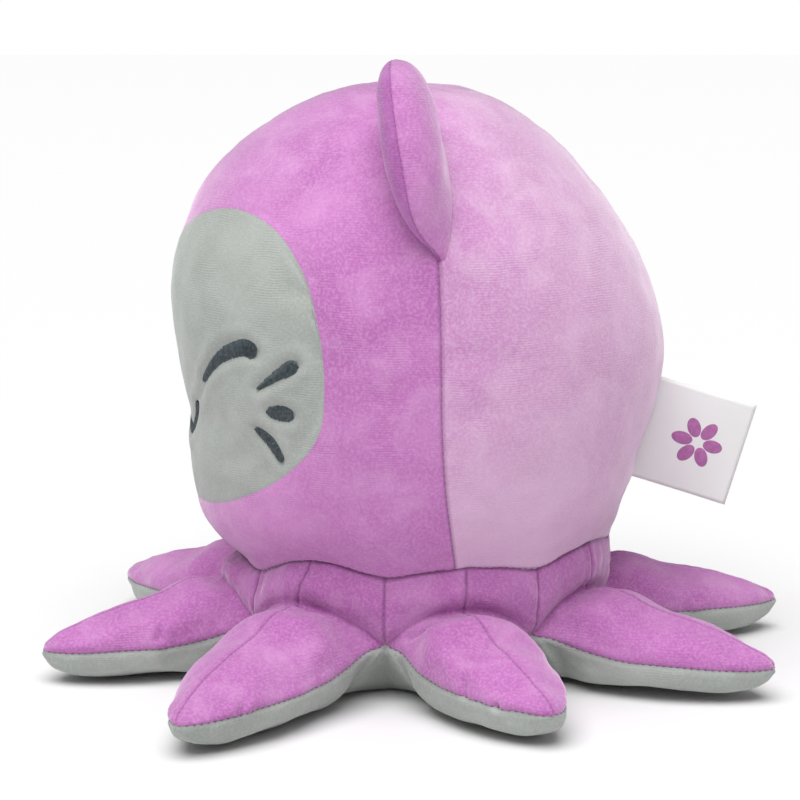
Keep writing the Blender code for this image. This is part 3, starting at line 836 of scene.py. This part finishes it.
def plain_finish(name, colour, roughness):
    """A plain dyed finish with a slight unevenness."""
    m = Recipe(name)
    uneven = m.noise(Scale=500.0, Detail=2.0)
    tone = m.mixed(m.ramped(uneven, 0.3, 0.7), tuple(c * 0.8 for c in colour), colour)
    return m.done(Base_Color=tone, Roughness=roughness)


# The front panels' pink is painted lighter towards the toy's front, as painted light.
PINK = plush("pink_minky", (0.520, 0.180, 0.480), (0.700, 0.370, 0.655), (0.370, 0.098, 0.345),
             0.80, (1.0, 0.86, 0.98), fore=(0.680, 0.275, 0.620), painted_light_y=(-0.060, 0.010))
# A darker copy of the pink plush for the skirts and tentacles, as painted shade.
PINK_PAINTED_SHADE = plush("pink_minky_painted_shade", (0.480, 0.158, 0.445), (0.650, 0.330, 0.605), (0.340, 0.085, 0.318),
                 0.80, (1.0, 0.86, 0.98))
# A darker copy of the pink plush for the ears' fronts: partly their nap, partly painted shade.
PINK_EAR_NAP_AND_SHADE = plush("pink_minky_ear_nap_and_shade", (0.400, 0.118, 0.385), (0.540, 0.235, 0.520), (0.290, 0.068, 0.285),
                 0.40, (1.0, 0.86, 0.98))
# The back panels' pale pink is painted deeper towards the front and paler low down, as painted light and
# shade.
PALE = plush("pale_pink_minky", (0.620, 0.350, 0.570), (0.760, 0.540, 0.715), (0.510, 0.240, 0.465),
             0.80, (1.0, 0.92, 0.98), fore=(0.560, 0.225, 0.515), painted_light_y=(0.030, 0.100), painted_low_light=0.75)
GREY = plush("grey_minky", (0.375, 0.400, 0.375), (0.480, 0.500, 0.480), (0.290, 0.312, 0.292),
             0.40, (0.95, 1.0, 0.97))
THREAD_DARK = thread_finish("embroidery_thread", (0.030, 0.045, 0.052), (0.075, 0.100, 0.112), 0.42)
THREAD_PINK = thread_finish("seam_thread", (0.300, 0.085, 0.290), (0.380, 0.130, 0.360), 0.60)
THREAD_DEEP = thread_finish("sole_seam_thread", (0.120, 0.050, 0.120), (0.200, 0.090, 0.190), 0.60)
SATIN = satin_finish()
PINK_LOOK = (PINK, "pink_plush")
PAINTED_SHADE_LOOK = (PINK_PAINTED_SHADE, "pink_plush")
EAR_NAP_AND_SHADE_LOOK = (PINK_EAR_NAP_AND_SHADE, "pink_plush")
PALE_LOOK = (PALE, "pale_pink_plush")
GREY_LOOK = (GREY, "grey_plush")
MOTIF = plain_finish("label_motif", (0.470, 0.150, 0.400), 0.55)


# ---------------------------------------------------------------- from patchwork to pieces
# pitch, length and radius of each kind of stitch
HEAD_STITCH = (2.8 * MM, 1.9 * MM, 0.16 * MM)
ARM_STITCH = (2.6 * MM, 1.6 * MM, 0.20 * MM)
SOLE_STITCH = (2.6 * MM, 1.5 * MM, 0.18 * MM)
EAR_STITCH = (2.6 * MM, 1.7 * MM, 0.15 * MM)
STITCH_RINGS = 5
STITCH_SIDES = 6


def fresh_object(name, verts, faces, material):
    """A smooth mesh object with one material."""
    mesh = bpy.data.meshes.new(name)
    mesh.from_pydata([tuple(v) for v in verts], [], faces)
    mesh.materials.append(material)
    mesh.shade_smooth()
    obj = linked(name, mesh)
    return obj


def panel_piece(mesh, number, name, material, slot):
    """One sewn panel cut out of a patchwork, with the cloth tucked in behind its seam."""
    numbers = panel_numbers(mesh)
    chosen = np.nonzero(numbers % TUCKED == number)[0]
    ids = {}
    faces = []
    for i in chosen:
        faces.append([ids.setdefault(v, len(ids)) for v in mesh.polygons[i].vertices])
    co = coordinates(mesh)
    verts = co[list(ids)]
    obj = fresh_object(name, verts, faces, material)
    line = np.zeros(len(mesh.vertices))
    mesh.attributes["seam_line"].data.foreach_get("value", line)
    obj.data.attributes.new("seam_line", "FLOAT", "POINT").data.foreach_set("value", line[list(ids)])
    return obj


def cover(mesh, number, name, look, nodes):
    """A padded cover that stands for these CAD nodes; its look is a material and a slot name, which is not
    used.
    """
    piece = panel_piece(mesh, number, name, *look)
    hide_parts(*nodes)
    return piece


def seam_chains(mesh, first, second):
    """The lines of points along the seam between two panels, and the normal at each."""
    numbers = panel_numbers(mesh)
    owners = {}
    for poly, number in zip(mesh.polygons, numbers):
        if number in (first, second):
            for key in poly.edge_keys:
                owners.setdefault(key, set()).add(int(number))
    steps = {}
    for (a, b), found in owners.items():
        if len(found) == 2:
            steps.setdefault(a, []).append(b)
            steps.setdefault(b, []).append(a)
    chains = []
    left = set(steps)
    while left:
        ends = sorted(v for v in left if len([w for w in steps[v] if w in left]) <= 1)
        here = ends[0] if ends else min(left)
        chain = [here]
        left.discard(here)
        while True:
            ahead = [w for w in steps[here] if w in left]
            if not ahead:
                break
            here = ahead[0]
            chain.append(here)
            left.discard(here)
        if len(chain) > 3:
            chains.append(chain)
    co = coordinates(mesh)
    no = normals(mesh)
    return [(co[c], no[c]) for c in chains]


def stitch(verts, faces, a, b, normal, radius):
    """One lying thread between two points, sunk in at both ends."""
    run = b - a
    run = run / max(np.linalg.norm(run), TINY)
    side = np.cross(normal, run)
    side /= max(np.linalg.norm(side), TINY)
    base = len(verts)
    rings = STITCH_RINGS
    sides = STITCH_SIDES
    for i in range(rings):
        f = i / (rings - 1)
        middle = a + (b - a) * f + normal * radius * (1.6 * math.sin(math.pi * f) - 0.9)
        r = radius * (0.55 + 0.45 * math.sin(math.pi * f))
        for j in range(sides):
            angle = 2.0 * math.pi * j / sides
            verts.append(middle + side * r * math.cos(angle) + normal * r * math.sin(angle))
    faces += ring_faces(rings, sides, base)
    faces.append(tuple(base + j for j in reversed(range(sides))))
    faces.append(tuple(base + (rings - 1) * sides + j for j in range(sides)))


def stitches(name, chains, sizes, material):
    """A row of stitches along some seams, as one piece; sizes are pitch, length and radius."""
    pitch, length, radius = sizes
    verts = []
    faces = []
    for points, up in chains:
        steps = np.linalg.norm(np.diff(points, axis=0), axis=1)
        run = np.concatenate(((0.0,), np.cumsum(steps)))
        for i in range(int(run[-1] / pitch)):
            middle = (i + 0.5) * pitch
            normal = on_run(run, up, i * pitch)
            normal /= max(np.linalg.norm(normal), TINY)
            stitch(verts, faces, on_run(run, points, middle - length / 2.0),
                   on_run(run, points, middle + length / 2.0), normal, radius)
    return fresh_object(name, verts, faces, material)


def on_run(run, values, s):
    """The values' mix at the place s on a line, given each point's place."""
    return np.array([np.interp(s, run, values[:, k]) for k in range(3)])


# ---------------------------------------------------------------- embroidery
REACH_R = 0.094            # the head's radius about the face
THREAD_PITCH = 0.00042
THREAD_LIFT = 0.0010
THREAD_SINK = 0.00035
THREAD_STEPS = 4           # rows of points along one thread
STROKE_COLUMNS = 9
HEAD_MIDDLE = Vector((0.0, 0.0, 0.11))
STROKE_VALLEY = (0.9 * MM, 1.4 * MM)            # depth and reach beside a stroke
STROKE_ROLL = (0.45 * MM, 4.2 * MM, 2.2 * MM)   # height, place and width of the cloth's roll
STROKE_CLEAR = 4.0 * MM
EYE = ((33.6, 0.1186), (43.0, 0.1298), (50.8, 0.1342), (55.0, 0.1328))
EYE_WIDTHS = (0.0022, 0.0050, 0.0064, 0.0066)
WHISKERS = (
    (((55.2, 0.1196), (61.0, 0.1256), (66.2, 0.1302)), (0.0008, 0.0042, 0.0050)),
    (((57.5, 0.1114), (61.0, 0.1111), (64.5, 0.1110)), (0.0034, 0.0052, 0.0040)),
    (((53.5, 0.1039), (57.8, 0.0995), (61.0, 0.0930)), (0.0016, 0.0032, 0.0026)),
)
MOUTH = ((-25.5, 0.1082), (-18.0, 0.0968), (-8.5, 0.0945), (0.0, 0.1005),
         (8.5, 0.0945), (18.0, 0.0968), (25.5, 0.1082))
# a soft fold in the cloth on each side, from the eye's inner end to the mouth's corner
CHEEK_FOLD = ((33.2, 0.1172), (30.2, 0.1125), (26.6, 0.1094))
MOUTH_WIDTHS = (0.0016, 0.0034, 0.0034, 0.0016)


def strokes():
    """Every embroidered stroke: its name, its points, its widths and its CAD node."""
    found = []
    for word, side in (("left", 1.0), ("right", -1.0)):
        line = tuple((side * a, z) for a, z in EYE)
        found.append(("eye_stitching_" + word, line, EYE_WIDTHS, "eye_" + word))
        for number, (points, widths) in enumerate(WHISKERS, start=1):
            line = tuple((side * a, z) for a, z in points)
            found.append((f"whisker_{number}_stitching_{word}", line, widths, None))
    found.append(("mouth_stitching", MOUTH, MOUTH_WIDTHS, "mouth"))
    return found


def stroke_line(points, widths, count):
    """Places, sideways steps and half widths along a stroke, on the face's own grid."""
    f = np.linspace(0.0, 1.0, count)
    here = smooth_line(points, f)
    ahead = smooth_line(points, np.minimum(f + 0.01, 1.0))
    behind = smooth_line(points, np.maximum(f - 0.01, 0.0))
    dx = np.radians(ahead[:, 0] - behind[:, 0]) * REACH_R
    dz = ahead[:, 1] - behind[:, 1]
    length = np.hypot(dx, dz)
    half = smooth_line(widths, f)[:, 0] / 2.0
    end = np.minimum(f, 1.0 - f) * count * THREAD_PITCH * 0.25
    half = half * np.sqrt(np.clip(end / np.maximum(half, 1e-6), 0.15, 1.0))
    turn = np.degrees(-dz / length * half / REACH_R)
    rise = dx / length * half
    return here, np.stack((turn, rise), axis=1), half


def stroke_length(points):
    """The length of a stroke."""
    line = smooth_line(points, np.linspace(0.0, 1.0, 40))
    dx = np.radians(np.diff(line[:, 0])) * REACH_R
    return float(np.hypot(dx, np.diff(line[:, 1])).sum())


def embroider(name, points, widths, surface):
    """A satin-stitched stroke: threads laid side by side across the line."""
    threads = int(stroke_length(points) / THREAD_PITCH)
    count = threads * THREAD_STEPS + 1
    here, step, _ = stroke_line(points, widths, count)
    across = np.linspace(-1.0, 1.0, STROKE_COLUMNS)
    rng = np.random.default_rng(len(name) * 7 + threads)
    ragged = 1.0 + rng.uniform(-0.07, 0.07, threads + 2)
    thread = np.minimum(np.arange(count) // THREAD_STEPS, threads)
    ridge = 0.5 - 0.5 * np.cos(2.0 * math.pi * np.arange(count) / THREAD_STEPS)
    reach = across[None, :] * (ragged[thread] * (0.97 + 0.03 * ridge))[:, None]
    spots = on_face(here[:, :1] + step[:, :1] * reach, here[:, 1:] + step[:, 1:] * reach)
    dome = np.sqrt(np.maximum(1.0 - across ** 2 * 0.999, 0.0))[None, :]
    lift = THREAD_LIFT * dome * (0.80 + 0.30 * ridge)[:, None] - THREAD_SINK * (1.0 - dome)
    verts = []
    for spot, rise in zip(spots.reshape(-1, 3), lift.ravel()):
        ground, normal, _, _ = surface.find_nearest(Vector(spot))
        verts.append(ground + normal * rise)
    faces = [(a, d, c, b) for a, b, c, d in grid_faces(count, STROKE_COLUMNS)]
    obj = fresh_object(name, verts, faces, THREAD_DARK)
    if obj.data.polygons[len(faces) // 2].normal.dot(Vector(verts[0]) - HEAD_MIDDLE) < 0.0:
        obj.data.flip_normals()
    return obj


def sink_under_strokes(mesh, distance_to_seam):
    """Pull the face panel in along each stroke, with a soft rim beside it."""
    co = coordinates(mesh)
    numbers = panel_numbers(mesh)
    on_panel = set()
    for poly, number in zip(mesh.polygons, numbers):
        if number == FACE:
            on_panel.update(poly.vertices)
    chosen = np.array(sorted(on_panel))
    gap = np.full(len(chosen), 1.0)
    for _, points, widths, _ in strokes():
        here, _, half = stroke_line(points, widths, 60)
        spots = on_face(here[:, 0], here[:, 1])
        for spot, h in zip(spots, half):
            gap = np.minimum(gap, np.linalg.norm(co[chosen] - spot, axis=1) - h)
    for side in (1.0, -1.0):
        fold = smooth_line(CHEEK_FOLD, np.linspace(0.0, 1.0, 30)) * np.array((side, 1.0))
        for spot in on_face(fold[:, 0], fold[:, 1]):
            gap = np.minimum(gap, np.linalg.norm(co[chosen] - spot, axis=1))
    out = np.maximum(gap, 0.0)
    depth, reach = STROKE_VALLEY
    high, at, wide = STROKE_ROLL
    push = high * np.exp(-((out - at) / wide) ** 2) - depth * np.exp(-(out / reach) ** 2)
    push *= smoothstep(distance_to_seam[chosen], 0.0, STROKE_CLEAR)
    co[chosen] += normals(mesh)[chosen] * push[:, None]
    move_points(mesh, co)


# ---------------------------------------------------------------- ears
EAR_INNER_Z = 0.2230
EAR_OUTER_Z = 0.1690
EAR_TIP = np.array((0.0860, -0.0030, 0.2290))
EAR_ROOT_HALF = 0.0062
EAR_HALF_THICK = 0.0125
EAR_STEPS = 16
RIM_FORWARD = 0.0070        # how far the rim seam lies in front of the ear's middle, low down
RIM_TOP_FORWARD = 0.0018
BACK_FLAT = 0.24            # how much flatter the back cover is by its root
EAR_NARROWS = (1.7, 0.62)   # how an ear's outline closes towards its tip
EAR_THINS = (2.6, 3.2)      # how it thins towards its sides and its tip
EAR_SWELL = 1.8             # how soon above the root it is at its thickest
EAR_TIP_RIGHT = np.array((0.0850, -0.0100, 0.2262))
EAR_DOWN = -0.10           # how far an ear's cover runs in under the head's
EAR_STEP = np.array((math.sin(SIDE_SEAM_AZ), 0.0, 0.6)) * 0.00208   # from the head to an ear's edge


def ear_root(s):
    """Points of an ear's sewn edge; s is -1 at the inner end."""
    z = lerp(EAR_INNER_Z, EAR_OUTER_Z, (s + 1.0) / 2.0)
    az = np.full(np.shape(s), SIDE_SEAM_AZ)
    return head_point(az, row_at_height(az, z)) + EAR_STEP


def ear_grid(depth, tip):
    """The left ear's front (depth 1) or back (depth -1) cover, up to this tip."""
    s = np.linspace(-1.0, 1.0, EAR_STEPS + 1)[None, :]
    s = np.sin(math.pi / 2.0 * s)
    h = np.linspace(0.0, 1.0, EAR_STEPS + 1)[:, None]
    h = EAR_DOWN + (1.0 - EAR_DOWN) * np.sin(math.pi / 2.0 * h)
    inner = ear_root(np.array(-1.0))
    outer = ear_root(np.array(1.0))
    across = outer - inner
    middle = (outer + inner) / 2.0
    rise = tip - middle
    face = np.cross(across, rise)
    face /= np.linalg.norm(face)
    if face[1] > 0.0:
        face = -face
    up = np.clip(h, 0.0, 1.0)
    half = np.maximum(np.cos(math.pi / 2.0 * up ** EAR_NARROWS[0]), 0.0) ** EAR_NARROWS[1]
    bow = (ear_root(s[0]) - middle - across * (0.5 * s[0])[:, None])
    point = (middle + rise * h[..., None] + across * (0.5 * s * half)[..., None]
             + bow[None] * ((1.0 - up) ** 2)[..., None])
    swell = np.sin(math.pi / 2.0 * np.minimum(up * EAR_SWELL, 1.0))
    thick = EAR_ROOT_HALF + (EAR_HALF_THICK - EAR_ROOT_HALF) * swell
    thick = thick * np.sqrt(np.maximum(1.0 - np.abs(s) ** EAR_THINS[0], 0.0))
    thick = thick * np.sqrt(np.maximum(1.0 - up ** EAR_THINS[1], 0.0))
    rim = lerp(RIM_FORWARD, RIM_TOP_FORWARD, up) * swell * np.ones(s.shape)
    share = 1.0 - depth * rim / EAR_HALF_THICK
    if depth < 0.0:
        share = share * (1.0 - BACK_FLAT * (1.0 - up) ** 1.5)
    return point + face * (rim + depth * thick * share)[..., None]


# ---------------------------------------------------------------- making the pieces
# for the head, the lower body and the ears: growth of the cloth, how far it may move, height
# of the stuffing's lumps and their seed
HEAD_PUFF = (0.010, 2.2 * MM, 0.75 * MM, 5.0)
BODY_PUFF = (0.015, 2.4 * MM, 0.65 * MM, 21.0)
EAR_PUFF = (0.010, 1.2 * MM, 0.50 * MM, 40.0)


def stuffed(name, grids, sizes, seed_step=0.0):
    """A patchwork that is puffed up, refined and sculpted, and each point's distance to a seam."""
    grow, cap, lump, seed = sizes
    obj = quilt(name, grids)
    puff(obj, seam_kinds(obj.data) != "", cap, grow)
    mesh = refined(obj, 2)
    bpy.data.objects.remove(obj)
    return mesh, sculpt(mesh, lump, seed + seed_step)


def ride_arm(piece):
    """A piece of a tentacle's cover, with its transform baked into its mesh."""
    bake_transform(piece)


def build_head():
    """The head's five covers, the stitches on its seams and the embroidery."""
    mesh, distance = stuffed("head_patchwork", head_grids(), HEAD_PUFF)
    sink_under_strokes(mesh, distance)
    covers = (
        (FRONT_LEFT, "head_front_cover_left", PINK_LOOK, ("head_front_panel_left", "head_filling")),
        (FRONT_RIGHT, "head_front_cover_right", PINK_LOOK, ("head_front_panel_right",)),
        (BACK_LEFT, "head_back_cover_left", PALE_LOOK, ("head_back_panel_left",)),
        (BACK_RIGHT, "head_back_cover_right", PALE_LOOK, ("head_back_panel_right",)),
        (FACE, "face_cover", GREY_LOOK, ("face_panel",)),
    )
    for number, name, look, nodes in covers:
        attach(cover(mesh, number, name, look, nodes), "body")
    rows = []
    for pair in ((FRONT_LEFT, BACK_LEFT), (FRONT_RIGHT, BACK_RIGHT), (BACK_LEFT, BACK_RIGHT),
                 (FRONT_LEFT, FRONT_RIGHT)):
        rows += seam_chains(mesh, *pair)
    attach(stitches("head_seam_stitches", rows, HEAD_STITCH, THREAD_PINK), "body")
    rows = []
    for number in (FRONT_LEFT, FRONT_RIGHT, BACK_LEFT, BACK_RIGHT):
        rows += seam_chains(mesh, number, number + TUCKED)
    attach(stitches("skirt_seam_stitches", rows, HEAD_STITCH, THREAD_PINK), "body")

    tree = bvhtree.BVHTree.FromPolygons([tuple(v) for v in coordinates(mesh)],
                                        [tuple(p.vertices) for p in mesh.polygons])
    for name, points, widths, node in strokes():
        piece = embroider(name, points, widths, tree)
        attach(piece, "body")
        if node:
            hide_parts(node)


def build_body():
    """The sixteen skirt and tentacle covers, the eight soles and their stitches."""
    mesh, _ = stuffed("body_patchwork", body_grids(), BODY_PUFF)
    co = coordinates(mesh)
    co += normals(mesh) * fold_push(co)[:, None]
    co[:, 2] = np.maximum(co[:, 2], 0.0)
    move_points(mesh, co)
    for n, word in enumerate(TENTACLE_NAMES):
        # The skirt and tentacle covers take the darker copy of the pink plush, which is painted shade.
        covers = (
            (ARM_LEFT, "tentacle_cover_left_", PAINTED_SHADE_LOOK,
             ("tentacle_top_left_" + word, "skirt_panel_" + word)),
            (ARM_RIGHT, "tentacle_cover_right_", PAINTED_SHADE_LOOK,
             ("tentacle_top_right_" + word, "tentacle_filling_" + word)),
            (SOLE, "sole_cover_", GREY_LOOK,
             ("tentacle_sole_" + word,) + (("base_panel",) if n == 0 else ())),
        )
        for first, name, look, nodes in covers:
            ride_arm(cover(mesh, first + n, name + word, look, nodes))
        rows = seam_chains(mesh, ARM_LEFT + n, ARM_RIGHT + n)
        rows += seam_chains(mesh, ARM_LEFT + n + SKIRT, ARM_RIGHT + n + SKIRT)
        rows += seam_chains(mesh, ARM_LEFT + n + SKIRT, ARM_RIGHT + (n + 1) % TENTACLES + SKIRT)
        ride_arm(stitches("tentacle_stitches_" + word, rows, ARM_STITCH, THREAD_PINK))
        rows = seam_chains(mesh, ARM_LEFT + n, SOLE + n) + seam_chains(mesh, ARM_RIGHT + n, SOLE + n)
        ride_arm(stitches("sole_stitches_" + word, rows, SOLE_STITCH, THREAD_DEEP))


def build_ears():
    """Two ears, each of a front and a back cover."""
    for word, side, tip in (("left", 1.0, EAR_TIP), ("right", -1.0, EAR_TIP_RIGHT)):
        grids = []
        for depth, number in ((1.0, EAR_FRONT), (-1.0, EAR_BACK)):
            grid = ear_grid(depth, tip)
            grids.append((grid if side > 0.0 else mirrored(grid), number))
        mesh, _ = stuffed("ear_patchwork_" + word, grids, EAR_PUFF, side)
        # The ear's front cover takes a darker copy of the pink plush, partly for its nap and partly as
        # painted shade.
        pieces = [
            cover(mesh, EAR_FRONT, "ear_front_cover_" + word, EAR_NAP_AND_SHADE_LOOK,
                  ("ear_front_panel_" + word, "ear_filling_" + word)),
            cover(mesh, EAR_BACK, "ear_back_cover_" + word, PINK_LOOK,
                  ("ear_back_panel_" + word,)),
        ]
        rows = seam_chains(mesh, EAR_FRONT, EAR_BACK)
        pieces.append(stitches("ear_stitches_" + word, rows, EAR_STITCH, THREAD_PINK))
        for piece in pieces:
            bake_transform(piece)


# ---------------------------------------------------------------- label
LABEL_TOP = np.array((0.0, 0.1022, 0.1130))
LABEL_LONG = 0.042
LABEL_OUT = 0.038
LABEL_TUCK = 0.0045        # how far the label runs in under the head's back seam
LABEL_LEAN = math.radians(17.0)
LABEL_HALF = 0.00030       # half the folded label's thickness
LABEL_ACROSS = 24
LABEL_DOWN = 26
LABEL_RIDE = (0.04, 0.22)  # places across between which the label leaves the seam
LABEL_CURL = (0.0016, 0.0020)      # its bow across and the twist of its free edge
HEM = (0.00022, 0.06, 0.02)        # height, place and width of the hem by the seam
PETALS = 6
PETAL_REACH = 0.0062
PETAL_LONG = 0.0040
PETAL_WIDE = 0.0026
PETAL_SIDES = 20
PETAL_RINGS = ((0.0, 0.00022), (0.7, 0.00020), (1.0, 0.00002))     # size and lift
FLOWER = (0.5, 0.52)       # its middle, down and across the label


def label_point(f, g):
    """A point of the label: f down its sewn edge, g out from inside the seam, both 0 to 1."""
    down = np.array((0.0, -math.sin(LABEL_LEAN), -math.cos(LABEL_LEAN)))
    out = np.array((0.0, math.cos(LABEL_LEAN), -math.sin(LABEL_LEAN)))
    curl = LABEL_CURL[0] * math.sin(math.pi * g) * math.cos(2.4 * f - 0.6)
    curl += LABEL_CURL[1] * g * g * (f - 0.5)
    far = LABEL_OUT * g - LABEL_TUCK * (1.0 - g) ** 6
    return LABEL_TOP + down * LABEL_LONG * f + out * far + np.array((curl, 0.0, 0.0))


def build_label():
    """A plain folded satin label with a small flower on each side."""
    verts = []
    for side in (1.0, -1.0):
        for i in range(LABEL_DOWN + 1):
            for j in range(LABEL_ACROSS + 1):
                f = i / LABEL_DOWN
                g = j / LABEL_ACROSS
                fold = LABEL_HALF * math.sqrt(max(1.0 - g ** 12, 0.0))
                fold += HEM[0] * math.exp(-((g - HEM[1]) / HEM[2]) ** 2)
                verts.append(label_point(f, g) + np.array((side * fold, 0.0, 0.0)))
    cols = LABEL_ACROSS + 1
    count = (LABEL_DOWN + 1) * cols
    faces = grid_faces(LABEL_DOWN + 1, cols)
    faces += [(a, d, c, b) for a, b, c, d in grid_faces(LABEL_DOWN + 1, cols, count)]
    rim = list(range(cols))
    rim += [i * cols + cols - 1 for i in range(1, LABEL_DOWN + 1)]
    rim += [LABEL_DOWN * cols + j for j in range(cols - 2, -1, -1)]
    rim += [i * cols for i in range(LABEL_DOWN - 1, 0, -1)]
    for k, a in enumerate(rim):
        b = rim[(k + 1) % len(rim)]
        faces.append((a, count + a, count + b, b))
    label = fresh_object("label_cloth", verts, faces, SATIN)
    start, end = ((label_point(0.0, g) + label_point(1.0, g)) / 2.0 for g in LABEL_RIDE)
    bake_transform(label)
    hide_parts("back_label")

    verts = []
    faces = []
    for side in (1.0, -1.0):
        for petal in range(PETALS):
            flower_petal(verts, faces, 2.0 * math.pi * petal / PETALS, side)
    motif = fresh_object("label_flower", verts, faces, MOTIF)
    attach(motif, "label")


def flower_petal(verts, faces, turn, side):
    """One rounded petal, a thin raised disc on the label's face."""
    base = len(verts)
    sides = PETAL_SIDES
    for ring, lift in PETAL_RINGS:
        for j in range(sides):
            angle = 2.0 * math.pi * j / sides
            a = PETAL_REACH + PETAL_LONG * ring * math.cos(angle)
            b = PETAL_WIDE * ring * math.sin(angle)
            f = FLOWER[0] + (a * math.sin(turn) + b * math.cos(turn)) / LABEL_LONG
            g = FLOWER[1] + (a * math.cos(turn) - b * math.sin(turn)) / LABEL_OUT
            verts.append(label_point(f, g) + np.array((side * (LABEL_HALF + lift), 0.0, 0.0)))
    quads = ring_faces(len(PETAL_RINGS), sides, base)
    faces += quads if side > 0.0 else [tuple(reversed(quad)) for quad in quads]


# ---------------------------------------------------------------- stage
def aimed(azimuth, elevation):
    """The direction towards this azimuth and elevation."""
    level = math.cos(elevation)
    return Vector((math.sin(azimuth) * level, -math.cos(azimuth) * level, math.sin(elevation)))


def build_camera():
    """The camera, looking at the toy's left side from a little above."""
    back = aimed(VIEW_AZ, VIEW_EL)
    right = Vector((math.cos(VIEW_AZ), math.sin(VIEW_AZ), 0.0))
    target = right * VIEW_SIDE + Vector((0.0, 0.0, VIEW_Z))
    data = bpy.data.cameras.new("camera")
    data.lens = LENS_MM
    data.sensor_width = SENSOR_MM
    camera = linked("camera", data)
    camera.location = target + back * VIEW_DISTANCE
    camera.rotation_euler = back.to_track_quat("Z", "Y").to_euler()
    bpy.context.scene.camera = camera


def build_sun():
    """One wide soft light from far away."""
    data = bpy.data.lights.new("top_light", "SUN")
    data.angle = math.radians(SUN_SPREAD)
    data.energy = SUN_STRENGTH
    back = aimed(math.radians(SUN_AZ), math.radians(SUN_HEIGHT))
    linked("top_light", data).rotation_euler = back.to_track_quat("Z", "Y").to_euler()


def build_stage():
    """A plain pale floor and a pale surround."""
    corners = ((-1.0, -1.0), (1.0, -1.0), (1.0, 1.0), (-1.0, 1.0))
    mesh = bpy.data.meshes.new("floor")
    mesh.from_pydata([(x * FLOOR_REACH, y * FLOOR_REACH, FLOOR_Z) for x, y in corners], [], [(0, 1, 2, 3)])
    mesh.materials.append(Recipe("floor_paper").done(Base_Color=(FLOOR_GREY,) * 3, Roughness=0.9))
    linked("floor", mesh)
    world = bpy.data.worlds.new("studio")
    world.use_nodes = True
    tree = world.node_tree
    ambient = tree.nodes["Background"]
    paper = tree.nodes.new("ShaderNodeBackground")
    for node, strength in ((ambient, AMBIENT), (paper, SURROUND)):
        node.inputs["Color"].default_value = (1.0, 1.0, 1.0, 1.0)
        node.inputs["Strength"].default_value = strength
    path = tree.nodes.new("ShaderNodeLightPath")
    pick = tree.nodes.new("ShaderNodeMixShader")
    tree.links.new(path.outputs["Is Camera Ray"], pick.inputs["Fac"])
    tree.links.new(ambient.outputs["Background"], pick.inputs[1])
    tree.links.new(paper.outputs["Background"], pick.inputs[2])
    tree.links.new(pick.outputs["Shader"], tree.nodes["World Output"].inputs["Surface"])
    bpy.context.scene.world = world
    bpy.context.scene.view_settings.view_transform = "Standard"


build_camera()
build_stage()
build_sun()
build_head()
build_body()
build_ears()
build_label()
